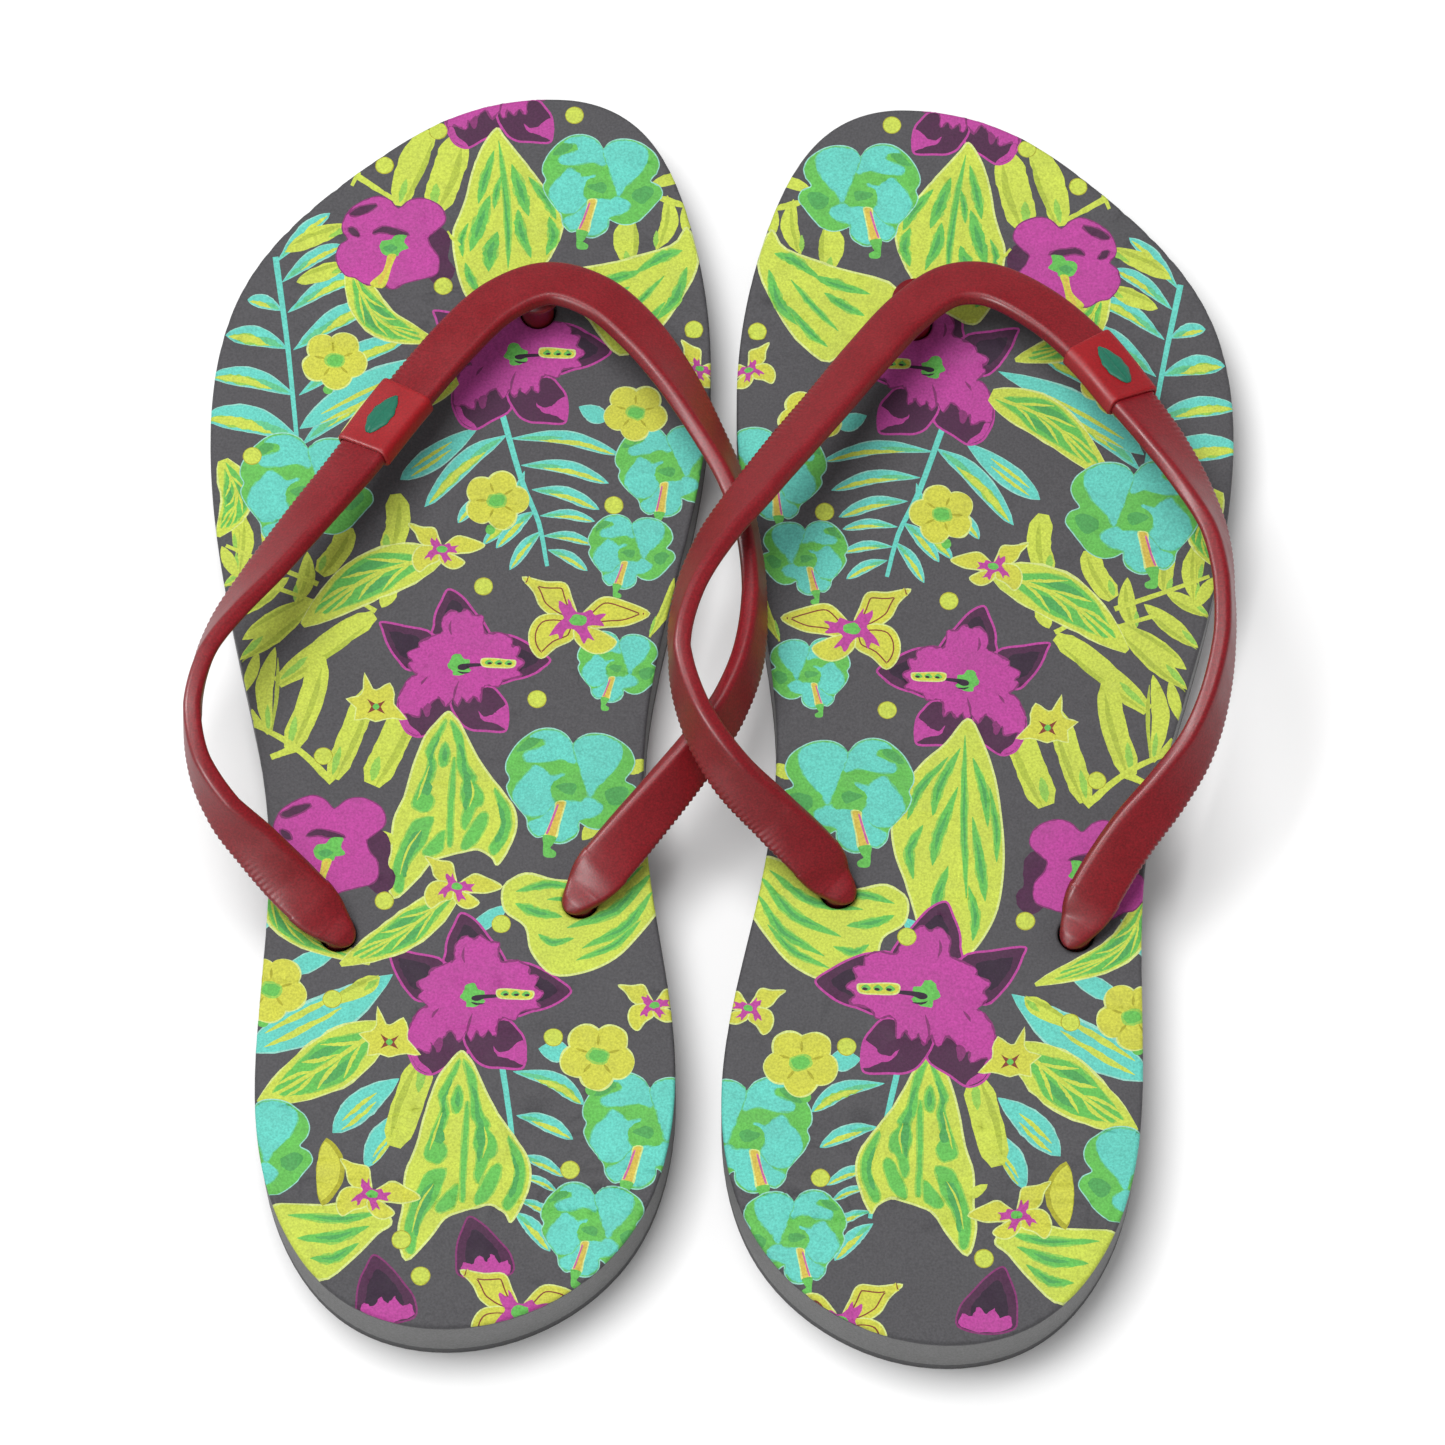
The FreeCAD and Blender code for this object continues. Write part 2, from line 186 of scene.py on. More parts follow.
def bumped(add, shader, link, layers):
    """Bump layers, each a height socket with its strength and its depth in metres."""
    normal = None
    for height, strength, depth in layers:
        inputs = {"Height": height, "Strength": strength, "Distance": depth}
        if normal is not None:
            inputs["Normal"] = normal
        normal = add("ShaderNodeBump", inputs).outputs["Normal"]
    link(normal, shader.inputs["Normal"])


def printed_rubber():
    mat, shader, add, link = material("printed_rubber")
    ink = add("ShaderNodeVertexColor", layer_name="Print")
    fine = grain(add, 2300, 2)
    blotch = grain(add, 160, 5)
    speckle = ranged(add, fine.outputs["Fac"], 0.6, 0.88, 0.3, 0.7)
    wash = ranged(add, blotch.outputs["Fac"], 0.92, 1.06, 0.3, 0.7)
    both = add("ShaderNodeMath", {0: speckle, 1: wash}, operation="MULTIPLY").outputs[0]
    link(tinted(add, ink.outputs["Color"], both), shader.inputs["Base Color"])
    link(ranged(add, blotch.outputs["Fac"], 0.62, 0.78, 0.3, 0.7), shader.inputs["Roughness"])
    shader.inputs["Specular IOR Level"].default_value = 0.3
    bumped(add, shader, link, [(fine.outputs["Fac"], 0.35, 0.00012), (grain(add, 900, 2).outputs["Fac"], 0.2,
                                                                      0.0002)])
    return mat


def foam(name, colour, low, high):
    """Cut foam rubber: closed pores, a fine grain and small shade changes."""
    mat, shader, add, link = material(name)
    where = add("ShaderNodeTexCoord")
    pores = add("ShaderNodeTexVoronoi", {"Vector": where.outputs["Object"], "Scale": 1500.0, "Randomness": 1.0})
    fine = grain(add, 2200, 4)
    broad = grain(add, 70, 4)
    shade = add("ShaderNodeMath", {0: ranged(add, fine.outputs["Fac"], low, high, 0.28, 0.72),
                                   1: ranged(add, broad.outputs["Fac"], 0.93, 1.06, 0.3, 0.7)},
                operation="MULTIPLY")
    link(tinted(add, colour[:3], shade.outputs[0]), shader.inputs["Base Color"])
    link(ranged(add, broad.outputs["Fac"], 0.82, 0.95), shader.inputs["Roughness"])
    shader.inputs["Specular IOR Level"].default_value = 0.2
    bumped(add, shader, link, [(pores.outputs["Distance"], 0.4, 0.0002), (fine.outputs["Fac"], 0.3, 0.00015)])
    return mat


def moulded(name, colour, roughness, speckle):
    """Injection-moulded soft plastic with a fine spark-eroded grain and slow gloss changes."""
    mat, shader, add, link = material(name)
    fine = grain(add, 2400, 2)
    slow = grain(add, 110, 3)
    shade = add("ShaderNodeMath", {0: ranged(add, fine.outputs["Fac"], 1 - speckle, 1 + speckle, 0.3, 0.7),
                                   1: ranged(add, slow.outputs["Fac"], 0.94, 1.06, 0.3, 0.7)}, operation="MULTIPLY")
    link(tinted(add, colour[:3], shade.outputs[0]), shader.inputs["Base Color"])
    link(ranged(add, slow.outputs["Fac"], roughness - 0.06, roughness + 0.08, 0.3, 0.7), shader.inputs["Roughness"])
    shader.inputs["Specular IOR Level"].default_value = 0.3
    bumped(add, shader, link, [(fine.outputs["Fac"], 0.25, 0.00008), (grain(add, 700, 2).outputs["Fac"], 0.12,
                                                                      0.00015)])
    return mat


MATERIALS = {
    "print": printed_rubber(),
    "core": foam("sole_foam", linear(128, 128, 128), 0.8, 1.2),
    "tread": foam("tread_rubber", linear(96, 96, 97), 0.85, 1.15),
    "strap": moulded("strap_plastic", linear(122, 13, 24), 0.42, 0.3),
    "band": moulded("band_rubber", linear(146, 10, 20), 0.5, 0.2),
    "leaf": moulded("leaf_rubber", linear(28, 104, 82), 0.45, 0.1),
}


def dressed(obj, key):
    obj.data.materials.clear()
    obj.data.materials.append(MATERIALS[key])


# ---- curves and rings in the plane ----------------------------------------------------------------------
def along(points, steps, closed=False):
    """A smooth line through the points, as numpy rows."""
    pts = np.array(points, float)
    count = len(pts)
    rows = []
    for i in range(count if closed else count - 1):
        if closed:
            p0, p1, p2, p3 = (pts[(i + k - 1) % count] for k in range(4))
        else:
            p1, p2 = pts[i], pts[i + 1]
            p0 = pts[i - 1] if i else 2 * p1 - p2
            p3 = pts[i + 2] if i + 2 < count else 2 * p2 - p1
        for j in range(steps):
            u = j / steps
            rows.append(0.5 * (2 * p1 + (p2 - p0) * u + (2 * p0 - 5 * p1 + 4 * p2 - p3) * u * u
                               + (3 * p1 - p0 - 3 * p2 + p3) * u**3))
    if not closed:
        rows.append(pts[-1])
    return np.array(rows)


def inset(ring, distance):
    """The ring moved inwards; it runs anticlockwise."""
    ahead = np.roll(ring, -1, axis=0) - np.roll(ring, 1, axis=0)
    ahead /= np.linalg.norm(ahead, axis=1)[:, None]
    return ring + ahead[:, ::-1] * [-1, 1] * distance


WIDTHS = {
    "lens": lambda t: math.sin(math.pi * t) ** 0.7,
    "leaflet": lambda t: math.sin(math.pi * t**1.25) ** 0.65,
    "bar": lambda t: min(1.0, 0.45 + 3.2 * t, 0.55 + 3.0 * (1 - t)),
    "stem": lambda t: 1.0 - 0.35 * t,
    "leaf": lambda t: math.sin(math.pi * (0.04 + 0.94 * t) ** 0.85) ** 0.75,
}


PRINT_SEED = 7


class Print:
    """The print of a sheet in the left sandal's frame: rings with a colour each, later ones over earlier ones."""

    def __init__(self):
        self.rings = []
        self.random = random.Random(PRINT_SEED)

    def ring(self, colour, points, steps=4, at=(0, 0), size=1.0, turn=0.0, stretch=1.0, ragged=0.0, grow=0.0):
        """A smooth closed ring round the points, turned, sized and moved to its place."""
        rows = along(points, steps, closed=True) if steps > 1 else np.array(points, float)
        rows = rows * [size, size * stretch]
        c, s = math.cos(math.radians(turn)), math.sin(math.radians(turn))
        rows = rows @ np.array([[c, s], [-s, c]]) + at
        area = sum(a[0] * b[1] - a[1] * b[0] for a, b in zip(rows, np.roll(rows, -1, axis=0)))
        if area < 0:
            rows = rows[::-1]
        if grow:
            rows = inset(rows, -grow)
            if sum(a[0] * b[1] - a[1] * b[0] for a, b in zip(rows, np.roll(rows, -1, axis=0))) <= 0:
                return
        if ragged:
            rows = rows + [[self.random.uniform(-ragged, ragged), self.random.uniform(-ragged, ragged)]
                           for _ in rows]
        self.rings.append((colour, rows))

    def shrunk(self, colour, points, factors, steps=3, ragged=0.15, **place):
        """A ring drawn smaller round its own middle."""
        middle = np.mean(points, axis=0)
        rows = [tuple(middle + (np.array(p) - middle) * factors) for p in points]
        self.ring(colour, rows, steps, ragged=ragged, **place)

    def rimmed(self, rim_colour, colour, points, rim=0.4, steps=4, **place):
        """A ring with a thin line of another colour along its edge."""
        self.ring(rim_colour, points, steps, **place)
        self.ring(colour, points, steps, grow=-rim, **place)

    def stroke(self, colour, halo, points, steps=3, **place):
        """A brush mark with a softer colour along its edge."""
        self.ring(halo, points, steps, grow=0.28, ragged=0.1, **place)
        self.ring(colour, points, steps, ragged=0.12, **place)

    def disc(self, colour, x, y, radius, wobble=0.03):
        """A hand-drawn round spot."""
        count = max(8, int(radius * 3))
        rows = []
        for i in range(count):
            a = 2 * math.pi * i / count
            r = radius * (1 + self.random.uniform(-wobble, wobble))
            rows.append((x + r * math.cos(a), y + r * math.sin(a)))
        self.ring(colour, rows, 4)

    def ribbon(self, colour, spine, width, shape="lens", ragged=0.04, halo=None):
        """A brush stroke along a line, with one of the width shapes above."""
        if halo:
            self.ribbon(halo, spine, width + 0.5, shape, ragged)
        middle = along(spine, max(3, 14 // (len(spine) - 1)))
        ahead = np.gradient(middle, axis=0)
        ahead /= np.linalg.norm(ahead, axis=1)[:, None]
        side = ahead[:, ::-1] * [-1, 1]
        count = len(middle)
        half = np.array([WIDTHS[shape](i / (count - 1)) for i in range(count)]) * width / 2
        half = np.maximum(half, 0.06)
        left = [m + s * h * (1 + self.random.uniform(-ragged, ragged)) for m, s, h in zip(middle, side, half)]
        right = [m - s * h * (1 + self.random.uniform(-ragged, ragged)) for m, s, h in zip(middle, side, half)]
        self.ring(colour, left + right[::-1], 1)

    def lines(self, colour, lines, width, shape="lens", ragged=0.04, at=(0, 0), size=1.0, turn=0.0, stretch=1.0):
        """Thin lines inside a motif, sized, turned and moved with it."""
        c, s = math.cos(math.radians(turn)), math.sin(math.radians(turn))
        for line in lines:
            spine = [(at[0] + size * (c * a - s * b * stretch), at[1] + size * (s * a + c * b * stretch))
                     for a, b in line]
            self.ribbon(colour, spine, width * size, shape, ragged)

    # -- motifs --
    def star_flower(self, x, y, size=1.0, turn=0.0):
        """Five pointed dark petals round a ragged bright middle, with a stamen to the right."""
        place = {"at": (x, y), "size": size, "turn": turn}
        petals = [
            [(-4.5, 5.5), (-5.1, 8), (-4.9, 10.4), (-3.9, 13), (-2.5, 15.6), (0.4, 14.2), (3.2, 10.8), (5.2, 8.4),
             (5.4, 5.8)],
            [(-5, 6.2), (-10.2, 7.7), (-15.2, 8.4), (-14.9, 6.4), (-13.9, 3.8), (-12, 0.8), (-9.2, -1.6), (-5, 0)],
            [(5.4, 6), (9.2, 6.6), (12.3, 5.6), (15.5, 3.7), (18, 1.6), (16.5, -0.4), (13.9, -2), (11.3, -2.8),
             (7, -3.4)],
            [(-8, -4), (-10.8, -6.4), (-11.2, -10), (-10.2, -12.8), (-8.8, -14.6), (-6.4, -15.3), (-3.6, -13.6),
             (0, -11), (-1, -7)],
            [(-1, -7), (0.6, -11.6), (3, -13.4), (6, -13.6), (9.6, -13.6), (10.4, -11.8), (10.2, -8.4), (9, -6.2),
             (6, -4)],
        ]
        for petal in petals:
            self.rimmed("magenta", "plum", petal, 0.45, 4, **place)
        for petal in petals[:3]:
            self.shrunk("dark_plum", petal, 0.55, **place)
        body = [
            (-4.6, 5.6), (-3, 6.6), (-3.2, 9), (-1.6, 10.9), (0, 10.4), (1.2, 11.2), (2.8, 10), (4.4, 9.9),
            (4.4, 8), (5.2, 6.4), (8, 6.6), (10, 5.6), (10.2, 4.2), (11.8, 3.8), (11.2, 2), (12.8, 0.8),
            (11.4, -0.6), (12.2, -1.8), (9, -2.6), (8, -4.2), (5.8, -3.8), (4.8, -5), (4.6, -7.4), (3.4, -6.2),
            (2.4, -7.6), (1.2, -6.6), (0.4, -8.4), (-0.6, -6.8), (-1.8, -8.6), (-3, -6.8), (-4.4, -7.6),
            (-5.6, -9.4), (-6.8, -9.2), (-7, -11), (-9, -10.2), (-10.4, -10.6),
            (-10.8, -8), (-10.2, -5.2), (-8.8, -3), (-7.6, -2.2), (-9.2, -0.6), (-8.6, 0.6), (-9.6, 2), (-7.6, 3.2),
            (-7.2, 4.4),
        ]
        self.ring("mauve", body, 4, ragged=0.12, grow=0.32, **place)
        self.ring("magenta", body, 4, ragged=0.22, **place)
        self.ring("mauve", [(-6.2, -9.6), (-5.4, -8.2), (-4.6, -8.8), (-5.2, -11)], 3, ragged=0.12, **place)
        self.ring("magenta", [(4.4, -9.4), (5.6, -10.4), (7.4, -10), (8.2, -9), (10, -8.2), (10.2, -12.6),
                              (7.6, -11.8), (5.4, -11.2)], 4, ragged=0.15, **place)
        self.ring("magenta", [(-10.4, -11), (-9, -13.8), (-6.4, -15), (-6.8, -14), (-8.6, -12.6), (-9.4, -10.8)], 3,
                  **place)
        self.lines("mauve", ([(0.4, -3.4), (-0.2, -5.4), (-0.4, -7.4)], [(-5.6, -2.6), (-6.4, -3.6), (-6.8, -4.4)],
                             [(-1.4, 6), (-1.8, 7.4), (-1.6, 9)]), 0.5, **place)
        self.ring("green", [(-1.9, -0.4), (-1.4, 0.8), (-0.9, 2), (0.5, 2.2), (1.2, 1.2), (2.4, 0.9), (2.2, -0.5),
                            (2.6, -1.1), (1, -2), (-0.6, -2.2), (-0.9, -1.2)], 3, ragged=0.1, **place)
        self.ring("dark_plum", [(0.2, -0.2), (1.4, 0.2), (4.6, 0.35), (4.6, -0.2), (2.4, -0.5), (1.2, -1),
                                (0.2, -0.8)], 3, **place)
        self.ring("dark_plum", [(0, -1.2), (1.2, -1.4), (2.6, -1.4), (1, -1.8)], 2, **place)
        self.ring("pale_lime", [(4.5, 1.3), (6.4, 1.6), (9.4, 1.4), (11.2, 1.2), (10.8, -0.3), (8, -0.5),
                                (4.9, -0.3)], 4, **place)
        self.ring("yellow", [(4.7, 1.1), (6.4, 1.4), (9.4, 1.2), (10.9, 1), (10.6, -0.1), (8, -0.3), (5.1, -0.1)],
                  4, **place)
        for k in range(3):
            self.ring("green", [(5.2 + 1.9 * k, 0.5), (6 + 1.9 * k, 1.2), (6.8 + 1.9 * k, 0.6), (6 + 1.9 * k, 0.1)],
                      3, **place)
            self.ring("dark_plum", [(5.7 + 1.9 * k, 0.5), (6.4 + 1.9 * k, 0.7), (6.6 + 1.9 * k, 0.3),
                                    (6 + 1.9 * k, 0.2)], 2, **place)

    def lone_petal(self, x, y, size=1.0, turn=0.0):
        """The upper petal of a star flower with a little of its bright middle."""
        place = {"at": (x, y), "size": size, "turn": turn}
        petal = [(-4.9, 3.4), (-5.5, 6.6), (-5.2, 10.0), (-4.1, 13), (-2.5, 15.6), (0.6, 13.6), (3.4, 10.4),
                 (5.6, 7.4), (5.8, 3.6), (0.4, 2.2)]
        self.rimmed("mauve", "plum", petal, 0.35, 4, **place)
        self.shrunk("dark_plum", petal, 0.6, **place)
        self.ring("magenta", [(-4.2, 3.6), (-3.8, 6.2), (-2.2, 5.6), (-1.0, 7.4), (0.6, 6.2), (1.8, 7.6),
                              (3.2, 5.8), (4.8, 6.2), (5.2, 3.8), (0.4, 2.6)], 4, ragged=0.22, **place)

    def round_flower(self, x, y, size=1.0, turn=0.0):
        """A lobed bright flower with a green middle and one yellow stamen."""
        place = {"at": (x, y), "size": size, "turn": turn}
        self.ring("plum", [(5, 5), (8.4, 4.4), (10.4, 2.8), (10.8, 0.4), (10.6, -2.4), (12, -4.6), (11, -7.4),
                           (8, -7.6), (5, -3)], 4, ragged=0.12, **place)
        lobes = [
            (-5.6, 9.6), (-3.4, 10.2), (-1.4, 9.4), (0.4, 7.8), (2.6, 9.6), (5.4, 10), (8.6, 8.4), (9.6, 5.6),
            (8, 3.6), (6.4, 2.2), (7, 0), (8.6, -2.2), (8.4, -5.6), (5.6, -6.8), (2.4, -7.8), (0, -9), (-2.4, -8),
            (-5, -8.4), (-7.4, -7), (-9.4, -6.4), (-11.2, -3.4), (-10.8, -0.6), (-9.2, 1), (-10.4, 3.4),
            (-9.4, 6.8), (-7.4, 8.6)]
        self.ring("mauve", lobes, 4, grow=0.25, **place)
        self.ring("magenta", lobes, 4, ragged=0.1, **place)
        for mark in ([(-9.2, 6.4), (-7, 8), (-4, 8.6), (-5, 7.4), (-7.6, 6)], [(-9.2, 3.4), (-7.8, 3.2), (-7, 1.8),
                                                                               (-8.2, 1.9)],
                     [(-4.4, 2.6), (-2.6, 3.8), (0.4, 3.4), (2.6, 2.6), (0, 2.4), (-2.4, 2.8)]):
            self.stroke("plum", "mauve", mark, **place)
        self.ring("green", [(-2.9, -0.8), (-2.6, 0.8), (-0.8, 1.2), (0, 2.3), (2.2, 2.4), (1.9, 0.8), (2.7, -0.6),
                            (1, -1.2), (0.6, -2.1), (-1.6, -2)], 3, ragged=0.1, **place)
        self.ring("deep_green", [(-2.2, -0.6), (-0.8, 0.2), (0.6, -0.4), (-0.8, -1.4)], 3, ragged=0.1, **place)
        self.ring("yellow", [(-1.2, -1.9), (0.4, -1.9), (-0.4, -4.6), (-1.4, -8.6), (-3.6, -8.8), (-4.4, -8),
                             (-2.4, -6), (-1.6, -4)], 3, **place)
        self.ring("orange", [(-1, -2.4), (-0.2, -2.4), (-1, -5), (-2.2, -8.2), (-3, -8), (-1.8, -5.4)], 2, **place)

    def lobed_flower(self, x, y, size=1.0, turn=0.0):
        """A round turquoise flower shaded with green, whose yellow stamen hangs down to a green end."""
        place = {"at": (x - size, y), "size": size, "turn": turn}
        edge = [
            (0.9, 8.5), (-0.6, 10.5), (-3, 11.6), (-5.8, 11.4), (-8.2, 9.9), (-10.2, 7.6), (-11.5, 5.1), (-11.7, 3),
            (-10.9, 1.3), (-11.4, -0.4), (-10.6, -2.4), (-9.2, -4.4), (-7.4, -6.6), (-6.9, -8.8), (-5.4, -10.4),
            (-3.8, -10.2), (-2.2, -11.3), (-0.2, -11.4), (1.8, -10.3), (2.5, -8.9), (2.7, -7.2), (4.4, -8.1),
            (6.6, -8.4), (8.6, -7.6), (10.4, -5.9), (12.2, -3.6), (13.6, -1.4), (12.9, 0.5), (11, 1.6), (12.2, 3.6),
            (12.7, 5.5), (11.9, 7.6), (10.2, 9.2), (8.4, 10.3), (6.2, 10.9), (3.8, 10.8), (2, 9.9)]
        self.ring("aqua", edge, 4, grow=0.22, **place)
        self.ring("green", edge, 4, ragged=0.04, **place)
        caps = [
            [(0.9, 8.2), (-0.6, 10.2), (-3, 11.3), (-5.8, 11), (-7.4, 9.8), (-5, 9.6), (-4.5, 8.2), (-6.4, 7.3),
             (-8.4, 6.4), (-7.8, 4.9), (-4.4, 4.9), (-1.2, 5.6), (1.2, 4.8), (1.9, 6.8)],
            [(1, 8.4), (2, 9.7), (3.8, 10.5), (6.2, 10.6), (8.2, 10), (9.9, 8.9), (10.3, 6.8), (9.2, 4), (7.4, 1.8),
             (5.8, 0.2), (4.9, -1.6), (4.2, -1.6), (3.6, 0.4), (2.9, 2), (2.3, 4.2), (1.4, 6.4)],
            [(-6.2, 4), (-4.2, 3), (-3, 2), (-0.6, 2.5), (-2.2, 0.5), (-3, -1.7), (-2.2, -3.4), (-3.4, -5.5),
             (-5.8, -6.3), (-7.8, -5.9), (-9.4, -3.8), (-10.2, -2.1), (-9.4, 0.4), (-7.8, 2.2)],
            [(-6.7, -7.4), (-4.2, -6.2), (-1.8, -3.4), (0.4, -2.8), (2.8, -2.9), (4.2, -2), (6.6, -3.3),
             (6.9, -4.6), (5.4, -6), (2.6, -6.9), (2.3, -9), (0, -11), (-2.2, -10.9), (-3.6, -9.9), (-5.2, -10.1),
             (-6.6, -8.8)],
        ]
        for cap in caps:
            self.ring("sea", cap, 4, grow=0.2, ragged=0.12, **place)
            self.ring("turquoise", cap, 4, ragged=0.14, **place)
        self.ring("green", [(-3, -0.8), (-2.4, 1), (-1, 1.9), (1.4, 1.9), (2.9, 0.6), (3, -1.6), (1.4, -2.5),
                            (-0.6, -2.6), (-2.2, -2)], 3, ragged=0.15, **place)
        for mark in ([(-10, 7), (-7.6, 9.6), (-5.6, 9.4), (-6, 8.4), (-8, 7)], [(-2.2, 0), (0.4, 1), (2, 0.2),
                                                                                (1, -1.6)],
                     [(7.4, -1), (10, 0.4), (12, -0.6), (10, -3.6), (8, -3)]):
            self.ring("deep_green", mark, 3, ragged=0.14, **place)
        self.ring("pale_lime", [(-1.9, -3), (0, -2.9), (-0.3, -5), (-1, -8), (-1.6, -10.8), (-4, -10.8), (-3, -7.6),
                                (-2.2, -5)], 3, **place)
        self.ring("orange", [(-1.7, -3.2), (-0.3, -3.1), (-0.6, -5), (-1.3, -8), (-2, -10.6), (-3.5, -10.6),
                             (-2.6, -7.6), (-2, -5)], 3, **place)
        self.ring("pink", [(-1.8, -4), (-1.4, -4), (-2.5, -7.6), (-3.2, -9.6), (-3.6, -9.6), (-2.8, -7.2)], 2,
                  **place)
        self.ring("green", [(-4, -10), (-1.6, -10.4), (-2.2, -11.8), (-2.6, -12.6), (-1.5, -13.4), (-1.9, -14.4),
                            (-3.8, -14.2), (-4, -12)], 4, **place)

    def five_lobes(self, x, y, size=1.0, turn=0.0):
        """A small yellow flower with a green middle."""
        spots = [(x + 3.5 * size * math.cos(math.radians(turn + 54 + 72 * k)),
                  y + 3.2 * size * math.sin(math.radians(turn + 54 + 72 * k))) for k in range(5)]
        self.disc("green", x - 0.9 * size, y - 6.1 * size, 0.95 * size)
        for colour, radius in (("pale_lime", 3.05), ("yellow", 2.8)):
            for px, py in spots:
                self.disc(colour, px, py, radius * size, 0.05)
        self.disc("yellow", x, y, 3 * size)
        for k in range(5):
            a = math.radians(turn + 18 + 72 * k)
            self.ribbon("ochre", [(x + 1.8 * size * math.cos(a), y + 1.8 * size * math.sin(a)),
                                  (x + 3.9 * size * math.cos(a), y + 3.7 * size * math.sin(a))], 0.5 * size)
        self.ring("fresh", [(-2, -0.2), (-1, 1.4), (0.9, 1.2), (2.1, 0.2), (1.2, -1.6), (-0.8, -1.4)], 3, at=(x, y),
                  size=size,
                  turn=turn, ragged=0.12)
        self.ring("green", [(-1.5, -0.2), (-0.8, 1), (0.8, 0.9), (1.7, 0.2), (1, -1.2), (-0.6, -1)], 3, at=(x, y),
                  size=size,
                  turn=turn, ragged=0.1)

    def butterfly(self, x, y, size=1.0, turn=0.0, lined=False):
        """Four uneven yellow petals round a small bright cross."""
        place = {"at": (x, y), "size": size, "turn": turn}
        petals = [
            [(0, 0.4), (-1.2, 4.6), (-2.6, 7.6), (-6.4, 7.8), (-10.9, 8.6), (-8.6, 5.6), (-7, 2.4), (-3, -0.2)],
            [(0, -0.4), (2, 2.6), (5, 5), (9.2, 4.2), (14, 1.9), (10, -0.6), (6, -1.2), (2, -1.6)],
            [(0, 0), (-3.6, 1.2), (-7.2, 0.6), (-9, -2.2), (-8.8, -5.6), (-6.6, -8), (-3.8, -5.6), (-0.6, -3.8)],
            [(0, 0), (2.4, -1.2), (5, -2.2), (7.8, -4.2), (5.4, -6.4), (2.4, -6.2), (-0.4, -3.6)],
        ]
        for petal in petals:
            self.ring("pale_lime", petal, 4, grow=0.12, **place)
            self.ring("yellow", petal, 4, grow=-0.15, ragged=0.05, **place)
        if lined:
            for petal in petals[:3]:
                for colour, depth in (("brown", 1.15), ("yellow", 1.42)):
                    self.ring(colour, petal, 4, grow=-depth, **place)
        self.ring("magenta", [(-3.6, 4), (-2, 3), (-1.8, 4.4), (-0.4, 2), (0.8, 1.6), (2.6, 2.2), (3.4, 1.2),
                              (5.6, 1.6), (4.6, 0.2), (5.4, -1), (3, -0.9), (2, -1.6), (3.6, -4), (2.2, -3.6),
                              (1.4, -4.8), (0, -2.2), (-1.8, -1.8), (-3, -4), (-3.6, -2.8), (-5.2, -3.4),
                              (-4, -1.2), (-2.6, 0.4), (-3.4, 2)], 3, ragged=0.1, **place)
        self.ring("green", [(-1.5, 0), (-0.2, 1.3), (1.8, 0.7), (1.5, -0.8), (-0.6, -1)], 3, ragged=0.1, **place)

    def small_star(self, x, y, size=1.0, turn=0.0):
        """A small pointed yellow flower."""
        place = {"at": (x, y), "size": size, "turn": turn}
        edge = [(-2.6, 7), (-0.8, 3.6), (0.6, 3.8), (2.4, 5), (3.4, 2.6), (3.4, 0.6), (6, -2.4), (3.4, -2.2),
                (1.4, -2.6), (0, -3), (-1.8, -2.4), (-4, -2.8), (-3.8, -0.4), (-5.8, 1.4), (-3.6, 2), (-2.6, 3.4)]
        self.ring("pale_lime", edge, 2, grow=0.12, **place)
        self.ring("yellow", edge, 2, grow=-0.12, **place)
        self.ring("brown", [(-1.8, 1.6), (0, 0.5), (1.8, 1.4), (0.9, 0), (1.8, -1.4), (0, -0.6), (-1.6, -1.4),
                            (-0.9, 0)],
                  2, **place)
        self.ring("green", [(-0.7, 0), (0, 0.7), (0.7, 0), (0, -0.7)], 2, **place)

